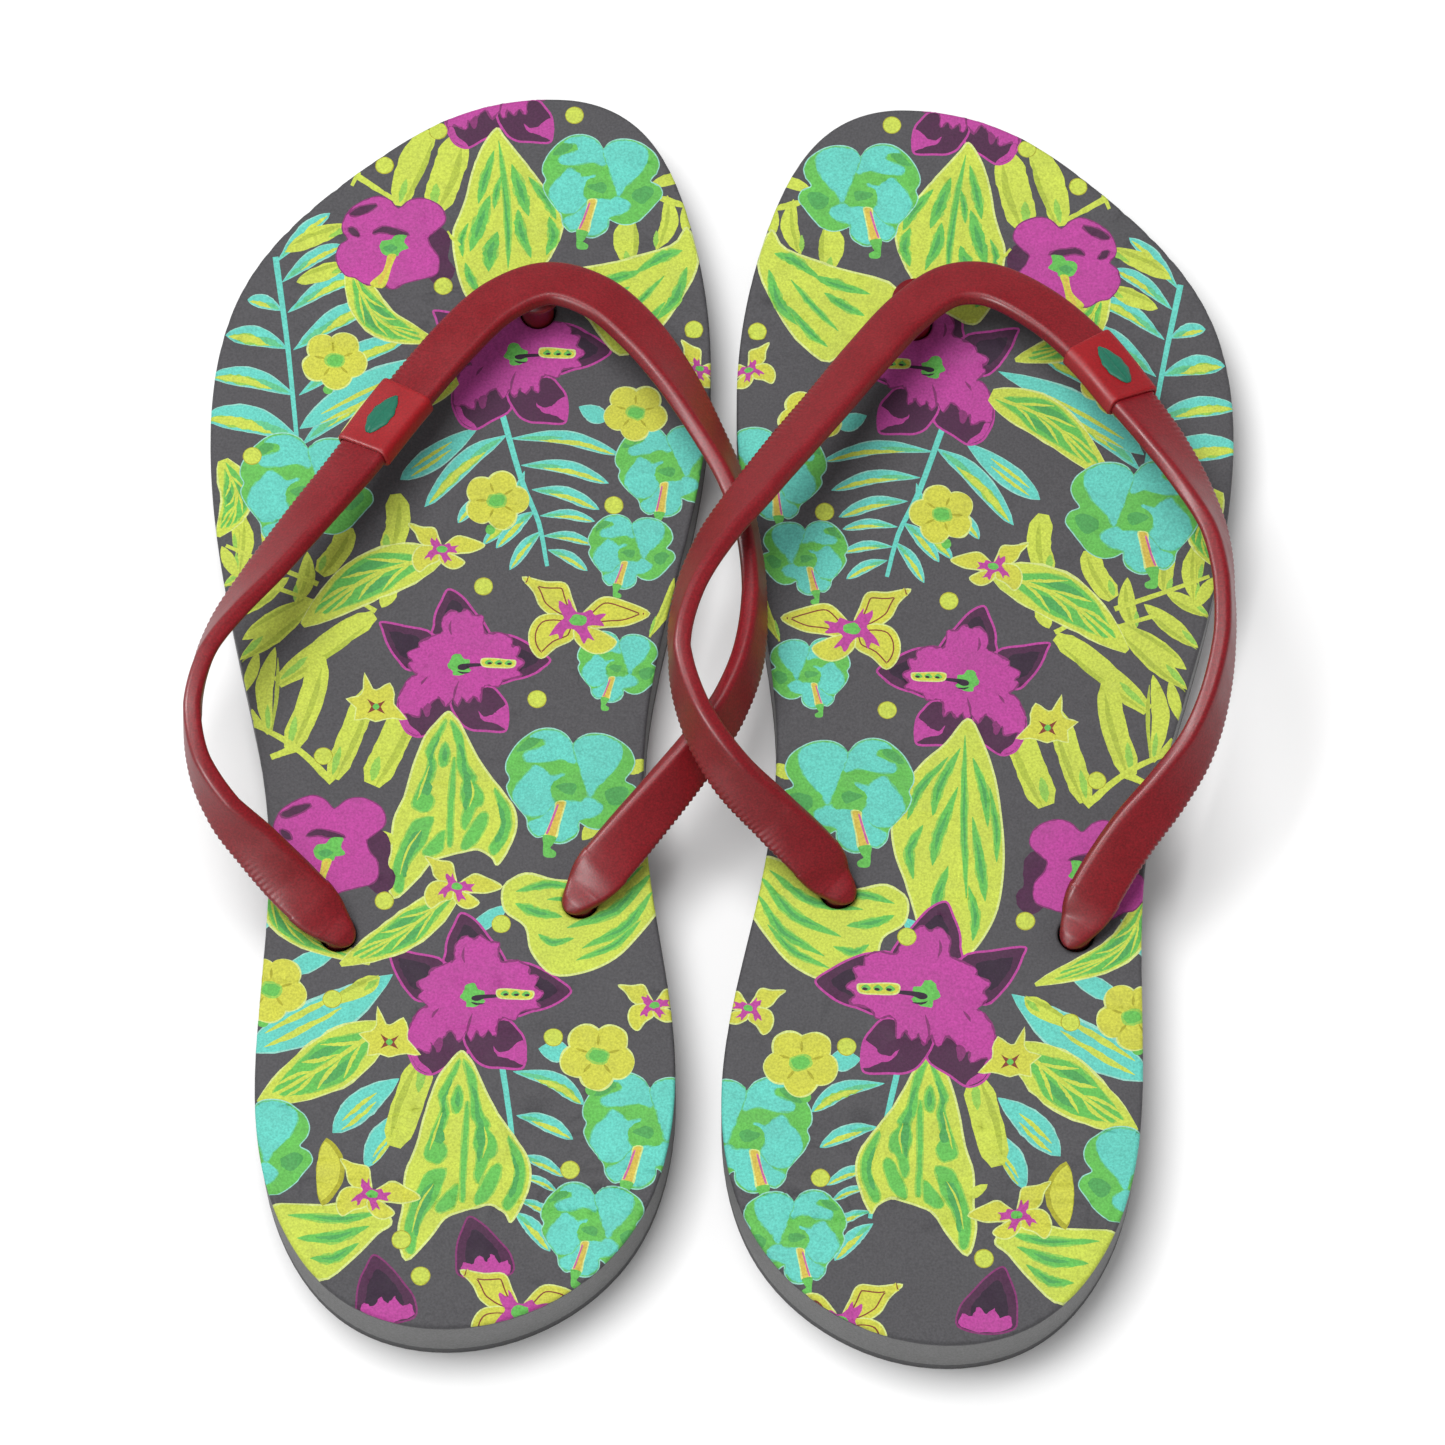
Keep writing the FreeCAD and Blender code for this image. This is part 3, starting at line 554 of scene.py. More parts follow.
    def big_leaf(self, x, y, size=1.0, stretch=1.0, turn=0.0):
        """A broad lime leaf hanging from its tip at (x, y), with green brush strokes."""
        place = {"at": (x, y), "size": size, "stretch": stretch, "turn": turn}
        edge = [(0, 0.3), (1.6, -0.9), (2.8, -2.5), (5.1, -6.9), (7.6, -11), (10.9, -15.1), (13.6, -19),
                (14.2, -22.8), (13, -26.9), (10.9, -30.6), (9.6, -29), (7, -27.6), (4, -28.2), (1.4, -29),
                (-1.6, -30.4), (-4.4, -34.2), (-8.5, -38), (-10.2, -33), (-9.6, -28.5), (-9.4, -22.3),
                (-7.6, -17.2), (-6.2, -11), (-4.2, -4.9), (-2.2, -2)]
        self.ring("pale_lime", edge, 4, grow=0.12, **place)
        self.ring("lime", edge, 4, grow=-0.3, **place)
        self.ring("lime", [(-9.4, -25), (-12.2, -24.4), (-11.2, -26.2), (-9.4, -27.2)], 2, **place)
        strokes = [
            [(-0.2, -1.3), (-1.5, -3.4), (-2.6, -5.4), (-3.8, -8), (-3.2, -10.4), (-4.6, -14.6), (-6, -18.7),
             (-4.8, -19.9), (-3, -20.2), (-1.8, -18), (-3, -15.6), (-2.2, -13), (-1.8, -11), (-2.4, -8.2),
             (-1.6, -5.6), (-0.6, -3.2)],
            [(0.6, -1.4), (2.8, -4.2), (3.6, -7.9), (4.4, -10.6), (6, -12.8), (5.8, -14), (7.4, -16), (7.4, -18.4),
             (6.2, -19.2), (5.4, -21.4), (4.4, -23.6), (3.6, -22), (4, -19), (3.2, -16.4), (3.6, -13.4), (2.4, -11),
             (2.2, -7.4), (1.4, -4.4)],
            [(-0.2, -6), (0.7, -8), (0.4, -10.4), (-0.8, -10.9), (-1.3, -8.6)],
            [(1.5, -9), (2, -10.6), (2, -16), (1.9, -22), (2, -26.6), (1.2, -26.6), (1, -20), (1.1, -14)],
            [(-1.8, -21.4), (-5, -22), (-6.6, -24.6), (-8, -28), (-8.9, -32), (-8.4, -36.2), (-7, -36.4),
             (-6.6, -32.6), (-5.2, -29.4), (-3.2, -26.6), (-2.4, -24)],
            [(0.5, -24), (-1.4, -25.6), (-3.4, -28.2), (-2.4, -29.2), (0, -28), (0.4, -26.6)],
            [(6.8, -20.8), (5.4, -23), (4, -26), (4.2, -27.6), (6.2, -26.6), (7.6, -24.4), (8.6, -21.4), (8, -20)],
            [(9.6, -15), (12, -18), (13, -21), (12.8, -24), (11.4, -27), (10, -28.4), (9.2, -27), (10.8, -24),
             (11.3, -21), (10.4, -18)],
        ]
        for stroke in strokes:
            self.stroke("green", "fresh", stroke, **place)
        for stroke in (strokes[0], strokes[1], strokes[4], strokes[7]):
            self.shrunk("deep_green", stroke, [0.5, 0.62], **place)
        self.ring("deep_green", [(-0.2, -7), (0.3, -8.6), (0, -10), (-0.7, -9)], 3, **place)
        self.lines("lime", ([(-3, -11), (-4.2, -15), (-5, -18)], [(5, -13.4), (5.6, -16), (5, -19)],
                            [(-4, -24), (-6.4, -28), (-7.6, -33)]), 0.45, "lens", 0.2, **place)

    def painted_leaf(self, ring, strokes):
        """A lime leaf from its own ring, with green strokes given by their lines and widths."""
        self.ring("pale_lime", ring, 4, grow=0.12)
        self.ring("lime", ring, 4, grow=-0.3)
        for spine, width in strokes:
            self.ribbon("green", spine, width, "lens", 0.22, halo="fresh")
        for spine, width in strokes:
            a, b = np.array(spine[0]), np.array(spine[-1])
            m = np.array(spine[len(spine) // 2])
            self.ribbon("deep_green", [m + (a - m) * 0.5, m, m + (b - m) * 0.5], width * 0.4, "lens", 0.25)

    def spear_leaf(self, spine, width, body="lime"):
        """A pointed leaf along a line: a lime edge round green shading, with lime streaks along it."""
        self.ribbon("pale_lime", spine, width + 0.24, "leaf")
        self.ribbon(body, spine, width - 0.5, "leaf")
        line = along(spine, 14)
        ahead = np.gradient(line, axis=0)
        ahead /= np.linalg.norm(ahead, axis=1)[:, None]
        side = ahead[:, ::-1] * [-1, 1]
        last = len(line) - 1

        def spot(along_part, across_part):
            i = min(last, max(0, round(along_part * last)))
            half = WIDTHS["leaf"](i / last) * width / 2
            return line[i] + side[i] * half * across_part

        for sign, start, end in ((1, 0.05, 0.86), (-1, 0.12, 0.9)):
            patch = [spot(start, 0.05 * sign), spot(0.25, 0.5 * sign), spot(0.42, 0.78 * sign),
                     spot(0.6, 0.74 * sign),
                     spot(0.76, 0.6 * sign), spot(end, 0.2 * sign), spot(0.7, 0.08 * sign), spot(0.4, 0.1 * sign)]
            self.ring("fresh", patch, 4, grow=0.2, ragged=0.12)
            self.ring("green", patch, 4, ragged=0.2)
            shade = [spot(0.3, 0.3 * sign), spot(0.45, 0.6 * sign), spot(0.62, 0.56 * sign), spot(0.5, 0.25 * sign)]
            self.ring("deep_green", shade, 3, ragged=0.15)
            for k in range(3):
                u = 0.2 + 0.2 * k
                self.ribbon("lime", [spot(u, 0.08 * sign), spot(u + 0.12, 0.3 * sign),
                                     spot(u + 0.25, (0.74 - 0.1 * k) * sign)],
                            width * 0.07, "lens", 0.3)
        self.ribbon(body, [line[1], line[last // 2], line[-2]], width * 0.09, "stem")

    def frond(self, stem, leaflets, width=1.2):
        """A turquoise palm frond: a stem and leaflets, each with its line and width."""
        for spine, leaf_width in leaflets:
            bent = list(spine)
            if len(bent) == 2:
                a, b = np.array(bent[0]), np.array(bent[1])
                lift = np.array([0, 0.09 * np.linalg.norm(b - a)])
                bent = [a, (a + b) / 2 + lift, b]
            self.ribbon("aqua", bent, leaf_width + 0.2, "leaflet")
            self.ribbon("turquoise", bent, leaf_width - 0.25, "leaflet")
            a, m, b = (np.array(p) for p in (bent[0], bent[len(bent) // 2], bent[-1]))
            low = np.array([0, -0.14 * leaf_width])
            if np.linalg.norm(b - a) > 6:
                self.ribbon("lime", [a + (m - a) * 0.5 + low, m + (b - m) * 0.25 + low,
                                     m + (b - m) * 0.9 + low * 0.5],
                            leaf_width * 0.34, "lens", 0.25, halo="fresh" if leaf_width > 3 else None)
            self.ribbon("sea", [a + (m - a) * 0.15, a + (m - a) * 0.95], leaf_width * 0.3, "lens", 0.25)
        self.ribbon("turquoise", stem, width, "stem")


def lay_out_print(side):
    """Every motif of a sheet in its place, in the left sandal's frame; a few differ on the right sandal."""
    left = side == "left"
    p = Print()
    # turquoise fronds and blades at the back
    p.frond([(-88.6, 90), (-85.2, 70.8), (-81.5, 45)], [
        ([(-86.8, 78.7), (-93.6, 80.8)], 2.9), ([(-85.2, 70.8), (-97.5, 73.2)], 4.0),
        ([(-83.3, 61), (-100, 64.6)], 4.2),
        ([(-81.7, 51.6), (-101, 56)], 5.6), ([(-88.2, 89), (-78.4, 99.6)], 2.7), ([(-87, 84.7), (-75.7, 93)], 3.0),
        ([(-85.6, 78.3), (-71.7, 86.8)], 3.3), ([(-84.1, 70.5), (-68, 81)], 4.2), ([(-82.5, 61), (-62, 73.8)], 4.3),
        ([(-81.3, 50.8), (-64, 64)], 4.7)])
    p.frond([(-43, 59), (-38.6, 45), (-34.8, 36), (-32.8, 27)], [
        ([(-41.1, 53.3), (-19.6, 50.6)], 2.8), ([(-38.7, 47.8), (-21.6, 44.6)], 2.8),
        ([(-36.4, 42.8), (-23.2, 39.2)], 2.7),
        ([(-34.6, 37.4), (-24, 36.6)], 2.1), ([(-33.8, 33.4), (-24, 31.8)], 2.1), ([(-32.8, 30.4), (-25, 26.3)],
                                                                                   2.2),
        ([(-41.8, 54), (-49, 48.8), (-57, 38.6)], 4.0), ([(-38, 46.6), (-40.4, 37.9), (-45.4, 31)], 3.2),
        ([(-35.7, 38.4), (-42.8, 30.4)], 2.7), ([(-34.3, 34.4), (-40, 26)], 2.4), ([(-46, 41), (-50.4, 35.4)],
                                                                                   2.4)])
    p.frond([(-38, -70), (-35, -86), (-33, -102)], [
        ([(-35, -75.4), (-27, -77), (-21.4, -81.6)], 3.3), ([(-34, -84), (-23.2, -88.4)], 3.0),
        ([(-33, -92), (-24.6, -95.8)], 2.2), ([(-33, -96), (-25.8, -98.6)], 1.5), ([(-33, -100.6), (-25.6, -104.2)],
                                                                                   1.8),
        ([(-33.6, -103), (-26.6, -110.4)], 3.0)])
    for spine, width in (
        ([(-53.4, 70.6), (-68.7, 63.9), (-82, 54)], 5.6), ([(-47.4, 55.4), (-62, 44)], 4.6),
        ([(-28, 60.4), (-22.4, 57.8)], 3.6), ([(-79, -41.4), (-86, -49)], 4.0), ([(-69, -52.2), (-79, -57.4)], 3.8),
        ([(-58.6, -57), (-70.1, -65.2), (-86, -73)], 8.2), ([(-56.4, -77.6), (-62.7, -82.5), (-68.4, -88.6)], 5.4),
        ([(-53.4, -83.4), (-58.9, -88.7), (-61.8, -95.4)], 4.2), ([(-30.4, -70.8), (-24.4, -71.6)], 4.2),
        ([(-46, -49.4), (-37.6, -42.6)], 3.0),
    ):
        p.ribbon("aqua", spine, width * 1.06, "leaflet")
        p.ribbon("turquoise", spine, width * 0.94, "leaflet")
        a, b = np.array(spine[0]), np.array(spine[-1])
        if np.linalg.norm(b - a) > 12:
            for shift in (-0.18, 0.16):
                off = np.array([0, shift * width])
                p.ribbon("lime", [a + (b - a) * 0.34 + off, a + (b - a) * 0.62 + off * 1.2,
                                  a + (b - a) * 0.86 + off],
                         width * 0.16, "lens", 0.2)
    # lime bars, twigs and fronds
    for spine, width in (
        ([(-59.2, 117.6), (-63.2, 111), (-64.8, 101.6)], 4.6), ([(-54, 116.6), (-55.7, 108.8), (-58, 101)], 6.2),
        ([(-86.8, 91.2), (-81, 94.6), (-74.6, 97.2)], 3.8), ([(-84.2, 84.8), (-74.4, 89)], 3.6),
        ([(-19.4, 101), (-20.6, 96), (-19.2, 89.8)], 4.2), ([(-12.4, 105.6), (-11.8, 99.6), (-14.2, 94)], 3.4),
        ([(-16, 107.4), (-8.4, 110.6)], 2.6), ([(-15, 105.4), (-8, 103.2)], 1.6), ([(-8.2, 104.6), (-8.6, 97.6)],
                                                                                   2.6),
        ([(-90.8, 10), (-84.8, 14.2), (-78.3, 18.6)], 3.8), ([(-79.2, 28.4), (-79.2, 22.4), (-81, 17.8)], 3.4),
        ([(-71.6, 34), (-73, 29), (-76.6, 24)], 4.4), ([(-93.3, 40), (-92.6, 33), (-92.8, 27.6)], 3.0),
        ([(-87.9, 35), (-86.2, 30), (-86.6, 25.4)], 3.8), ([(-82.5, 23), (-93, 14.4)], 3.6),
        ([(-86.6, 25.8), (-95, 21)], 3.0),
        ([(-77.2, 18.8), (-84.1, 12.2), (-91, 5.8)], 4.2), ([(-65.6, 15.8), (-73.2, 10.5), (-83.6, 1.2)], 4.4),
        ([(-75.6, 7), (-77, -2), (-80.4, -12.2)], 4.8), ([(-84.4, 8.6), (-86, 0), (-84.6, -9.4)], 3.4),
        ([(-87.6, 7.4), (-89.6, -0.6)], 2.4), ([(-66, 0.4), (-68.6, -8), (-72, -17.8)], 4.6),
        ([(-58, -3), (-61.2, -10.9), (-64.4, -18.9)], 5.8), ([(-62, 22.6), (-64.3, 17.4)], 3.2),
        ([(-8.2, 25.4), (-9.6, 19), (-12.6, 13)], 2.0), ([(-12, -12), (-15.8, -15)], 2.8),
        ([(-20.4, -24), (-23.8, -28.8)], 2.8),
        ([(-62.8, 41), (-62, 35), (-63.6, 28.4)], 4.6), ([(-56.8, -91), (-52.2, -74)], 5.8),
        ([(-92.4, 36.4), (-91, 30), (-92.4, 23.4)], 2.8), ([(-95.8, 29), (-92.6, 22.8)], 2.6),
        ([(-70.6, -63.4), (-64, -59.6), (-61, -57.6)], 3.4),
    ):
        p.ribbon("lime", spine, width, "bar" if width > 4.2 else "lens", 0.05)
        a, b = np.array(spine[0]), np.array(spine[-1])
        if np.linalg.norm(b - a) > 9:
            side = np.array([b[1] - a[1], a[0] - b[0]]) / np.linalg.norm(b - a) * width * 0.2
            p.ribbon("olive", [a + (b - a) * 0.12 - side, a + (b - a) * 0.5 - side * 1.4, b - side * 0.6],
                     width * 0.24, "lens",
                     0.16)
            p.ribbon("fresh", [b + (a - b) * 0.34 + side, b + (a - b) * 0.04 + side * 0.3], width * 0.3, "lens",
                     0.16)
    for spine, width in (
        ([(-73.4, 107.6), (-65.4, 102.6)], 1.3), ([(-73.2, 108.6), (-74.4, 105.6)], 1.0),
        ([(-85.4, 21), (-77.6, 18.3)], 1.0),
        ([(-76.8, 21.8), (-86.8, 25.8), (-95, 29.2)], 1.1), ([(-72, -18.6), (-79.4, -11.8), (-88, -7)], 1.5),
        ([(-79.4, -11.8), (-84, -14)], 1.8), ([(-65.4, 16.6), (-71, 19.9)], 1.0), ([(-88.6, -4.6), (-84.6, -9.2)],
                                                                                   1.3),
    ):
        p.ribbon("lime", spine, width, "stem")
    # flowers under the big leaves
    p.star_flower(-45.6, 129.4)
    p.star_flower(-41, 71, 1.06)
    p.star_flower(-49.2, 6.2)
    if left:
        p.star_flower(-43.6, -60.6, 1.06)
    if left:
        p.lone_petal(-57.0, -127.6)
        p.lone_petal(-38.6, -118.6, 0.95, 4)
    else:
        p.lone_petal(-55.6, -126)
    # leaves
    p.spear_leaf([(-74, 88.4), (-68, 77.6), (-56.6, 73)], 6.8)
    p.spear_leaf([(-52, 65.6), (-63.6, 60.4), (-75.4, 49)], 8.6)
    p.spear_leaf([(-96.6, 47), (-93.4, 39), (-96.6, 31)], 6.4)
    p.spear_leaf([(-60, -67.4), (-70, -75.2), (-82.6, -83.4)], 11)
    p.spear_leaf([(-84, -37), (-78.6, -47.6), (-63, -55)], 6.0)
    p.painted_leaf([(-8.2, 99), (-5.8, 91.8), (-8.8, 83.9), (-13.8, 76.1), (-20.5, 71.6), (-26.6, 78.5),
                    (-33.2, 87.4), (-21.8, 91.4), (-11.4, 95)],
                   [([(-9, 94), (-13, 92.6), (-18, 89)], 1.8), ([(-8, 90.6), (-10, 84), (-14, 79)], 2.0),
                    ([(-12.4, 88.6), (-17, 83), (-22, 78)], 1.0), ([(-17, 89.4), (-22, 87.6), (-28, 86)], 1.8),
                    ([(-19, 86), (-23, 83.4), (-27, 81.4)], 1.6), ([(-12, 83), (-16, 78), (-20, 74.6)], 1.4)])
    p.painted_leaf([(-10.4, -30.7), (-15.2, -32), (-22.9, -36.4), (-28.6, -36.8), (-34.4, -35.8), (-38.4, -38.6),
                    (-38, -43.5), (-34, -46.6), (-32.6, -51.6), (-28.4, -56), (-22.4, -55.4), (-16.6, -52.4),
                    (-12.3, -47.6), (-8.8, -42.3), (-7.8, -36.8), (-8.4, -32)],
                   [([(-12, -33.6), (-20, -39.6), (-30, -41)], 1.6), ([(-10.4, -35), (-17, -42.6), (-26, -46.6)],
                                                                      1.9),
                    ([(-10, -38.6), (-15, -46), (-23, -50.6)], 1.6), ([(-12, -44.6), (-17, -49.8), (-24, -53)],
                                                                      1.2),
                    ([(-24, -38.4), (-30, -38), (-36, -39.6)], 1.4), ([(-27, -44.4), (-32, -43.6), (-36, -42)],
                                                                      1.8),
                    ([(-24.6, -48.6), (-28.6, -49.6), (-31.4, -48)], 1.3)])
    p.painted_leaf([(-46.5, 118.8), (-48.8, 115.5), (-50.4, 111.4), (-51.3, 107.4), (-52, 103.4), (-53.1, 99.8),
                    (-54.1, 96.6), (-54, 93.4), (-53.3, 89.7), (-52.3, 86), (-50.6, 82.4), (-48.2, 80.2),
                    (-43.9, 82), (-38.5, 85.4), (-35.6, 90.4), (-34.2, 93), (-33, 96.2), (-32.5, 99.1),
                    (-33.1, 102.2), (-34.8, 104.6), (-37, 107), (-39.5, 110.4), (-42.3, 113.8), (-44.9, 117)],
                   [([(-46, 116.1), (-44.4, 106.9), (-43.3, 96.8), (-43, 89)], 1.1),
                    ([(-46.8, 114), (-48.4, 107.6), (-49.4, 102.6)], 1.6),
                    ([(-47.2, 104.4), (-48.9, 98.4), (-50.6, 92.4)], 2.4), ([(-51.2, 98.4), (-52.4, 95),
                                                                             (-52, 91.4)], 1.0),
                    ([(-51.4, 90), (-50.2, 86.6), (-48.6, 84)], 1.5), ([(-43.2, 111.2), (-41.2, 105.4),
                                                                        (-39.4, 100.4)], 2.2),
                    ([(-41.6, 101.6), (-40.8, 97), (-38.6, 91.6)], 2.0), ([(-39.8, 108.6), (-36, 103.8),
                                                                           (-34, 99.8)], 1.7),
                    ([(-35.4, 100.4), (-34.4, 96.2), (-35.6, 92.2)], 1.9), ([(-45.4, 96.8), (-46.6, 92.6),
                                                                             (-46.8, 88.4)], 2.6),
                    ([(-45.2, 108.6), (-46, 105), (-46.2, 101.6)], 1.1)])
    p.ribbon("lime", [(-55.4, 96.4), (-54, 95), (-52.6, 93.6)], 0.9, "stem")
    if left:
        p.big_leaf(-50.6, -3.8)
        p.big_leaf(-45, -72, 1.0, 1.08)
    else:
        p.painted_leaf([(-49, -1.6), (-51.8, -5.6), (-54.6, -13.6), (-56.2, -23.6), (-56.6, -31.6), (-55.6, -40),
                        (-53, -46), (-49.8, -50), (-46, -51.6), (-42, -49), (-40, -42), (-37.8, -35),
                        (-35.8, -29.6), (-35, -23.6), (-36.4, -17.6), (-40, -11.6), (-45, -6.6)],
                       [([(-48.6, -5), (-48.8, -22), (-49.6, -38)], 1.2), ([(-47.8, -7.6), (-44, -15.6),
                                                                            (-42.8, -21.6)], 1.7),
                        ([(-45.5, -9.6), (-40, -16.6), (-38, -22.6)], 1.5), ([(-47.5, -15.6), (-44, -25.6),
                                                                              (-43, -31.6)], 1.9),
                        ([(-41, -23.6), (-38.6, -28.6), (-39.4, -34.6)], 1.6), ([(-46, -31.6), (-44, -38.6),
                                                                                 (-44.4, -45.6)], 1.9),
                        ([(-50.2, -9.6), (-52.6, -16.6), (-53.4, -23.6)], 1.5), ([(-53.6, -15.6), (-55, -23.6),
                                                                                  (-55.2, -30.6)], 1.2),
                        ([(-50.4, -21.6), (-52.2, -31.6), (-53.2, -38.6)], 1.8), ([(-50, -35.6), (-51.4, -41.6),
                                                                                   (-51, -46.6)], 1.5)])
        p.big_leaf(-43.4, -69.4, 0.94, 1.1)
        p.star_flower(-42.8, -57.4, 1.2)
    # flowers and butterflies on top
    p.round_flower(-65.4, 93.2)
    p.round_flower(-71.7, -32.4, 1.06)
    p.lobed_flower(-25.2, 107, 0.93)
    p.lobed_flower(-80, 41, 1.02)
    p.lobed_flower(-9.6, 47.6, 0.82, 8)
    p.lobed_flower(-16.6, 30.4, 0.66)
    p.lobed_flower(-18.2, 6.6, 0.62)
    p.lobed_flower(-26.2, -18, 1.0)
    p.lobed_flower(-9, -86.4, 0.98)
    p.lobed_flower(-18.6, -106, 0.78)
    p.lobed_flower(-84, -93, 0.95)
    p.five_lobes(-76, 68.6, 1.02, 8)
    p.five_lobes(-17, 59.6, 0.98)
    p.five_lobes(-43.2, 40.4, 1.0, 20)
    p.five_lobes(-19.2, -71.8, 1.12)
    p.five_lobes(-81.6, -60.6, 1.1)
    p.spear_leaf([(-53.6, 28.6), (-67, 23.6), (-79.4, 13.2)], 10)
    if left:
        p.spear_leaf([(-47.4, -40), (-57, -48.4), (-68.6, -55.4)], 7.4)
    p.painted_leaf([(-56.4, -105.5), (-61.1, -101), (-68.9, -102.7), (-79, -103.2), (-77, -110), (-69.5, -117.4),
                    (-63.3, -113), (-59, -108.2)],
                   [([(-59, -104), (-66, -105.4), (-76, -105)], 1.5), ([(-60.6, -106.6), (-67, -109),
                                                                        (-74, -109.4)], 2.0),
                    ([(-62.4, -110), (-67, -113), (-71.4, -113.2)], 1.6)])
    p.ribbon("ochre", [(-69.5, -89.6), (-68.4, -96), (-69.6, -103)], 5.4, "lens")
    p.ribbon("yellow", [(-69.7, -90.4), (-68.8, -96), (-69.8, -102)], 4.4, "lens")
    p.butterfly(-26.6, 16, 1.0, 0, True)
    p.butterfly(-32 if left else -28.2, -122.2, 0.98, 4, True)
    p.butterfly(-53.4, 29.8, 0.6)
    if left:
        p.butterfly(-47.4, -39, 0.62, -6)
    p.butterfly(-4.9, 69.2, 0.5, -20)
    p.butterfly(-9, -61.4, 0.56, 10)
    p.butterfly(-60.6, -100.4, 0.66, -10)
    p.small_star(-64.4, -3)
    p.small_star(-58.6, -70.4)
    for x, y in ((-31.3, 122), (-68.2, 110.1), (-55.5, 84.9), (-90.9, 48), (-6.2, 77.4), (-20.4, 40.1),
                 (-44.9, 22.4), (-33.6, -0.4), (-74, -13.4), (-60.9, -42.3), (-38.5, -46.2), (-69.8, -62.2),
                 (-27.7, -68.4), (-23.5, -94.4), (-54.5, -109.1),
                 (-58, 117.8)) + (((-50.6, -115.9),) if left else ()):
        p.disc("ochre", x, y, 1.85, 0.02)
        p.disc("lime", x, y, 1.68, 0.03)
    return p.rings


# ---- the printed sheets -----------------------------------------------------------------------------------
def sole_outline(node):
    """The sole's outline, read from the bottom rim of a CAD core and smoothed, clockwise or not, in millimetres."""
    centre = np.array(SOLE_MIDDLE, float)
    rows = []
    for v in node.data.vertices:
        x, y, z = (c / MM for c in v.co)
        near_hole = min(math.dist((x, y), h) for h in HOLES["left"]) < 9.5
        if z < TREAD_THICKNESS + 0.01 and not near_hole:
            rows.append((math.atan2(y - centre[1], x - centre[0]), x, y))
    rows.sort()
    ring = []
    for _a, x, y in rows:
        if not ring or math.dist(ring[-1], (x, y)) > 0.4:
            ring.append((x, y))
    fine = along(ring, 8, closed=True)
    steps = np.linalg.norm(np.diff(np.vstack([fine, fine[:1]]), axis=0), axis=1)
    total = np.concatenate([[0], np.cumsum(steps)])
    wanted = np.linspace(0, total[-1], 421)[:-1]
    looped = np.vstack([fine, fine[:1]])
    return np.stack([np.interp(wanted, total, looped[:, k]) for k in (0, 1)], axis=1)


def heights_of(node):
    """Height of the sheet's top along the sole, read from the CAD sheet, as two lists in millimetres."""
    rows = []
    for v in node.data.vertices:
        y, z = v.co.y / MM, v.co.z / MM
        if z > np.interp(y, [p[0] for p in TOP_LINE], [p[1] for p in TOP_LINE]) - SHEET_THICKNESS / 2:
            rows.append((y, z))
    rows.sort()
    return [r[0] for r in rows], [r[1] for r in rows]


def circle(x, y, radius, count):
    return np.array([(x + radius * math.cos(2 * math.pi * i / count),
                      y + radius * math.sin(2 * math.pi * i / count))
                     for i in range(count)])


def new_object(name, verts, faces, smooth=True):
    """A mesh object from millimetre points."""
    mesh = bpy.data.meshes.new(name)
    mesh.from_pydata([tuple(c * MM for c in v) for v in verts], [], faces)
    mesh.update()
    obj = bpy.data.objects.new(name, mesh)
    scene.collection.objects.link(obj)
    for polygon in mesh.polygons:
        polygon.use_smooth = smooth
    return obj


def inside_ring(points, ring):
    """Which points a closed ring winds round."""
    x1, y1 = ring[:, 0], ring[:, 1]
    x2, y2 = np.roll(x1, -1), np.roll(y1, -1)
    answer = []
    for start in range(0, len(points), 8000):
        px, py = points[start:start + 8000, 0:1], points[start:start + 8000, 1:2]
        side = (x2 - x1) * (py - y1) - (px - x1) * (y2 - y1)
        upward = ((y1 <= py) & (y2 > py) & (side > 0)).sum(axis=1)
        downward = ((y1 > py) & (y2 <= py) & (side < 0)).sum(axis=1)
        answer.append(upward != downward)
    return np.concatenate(answer)


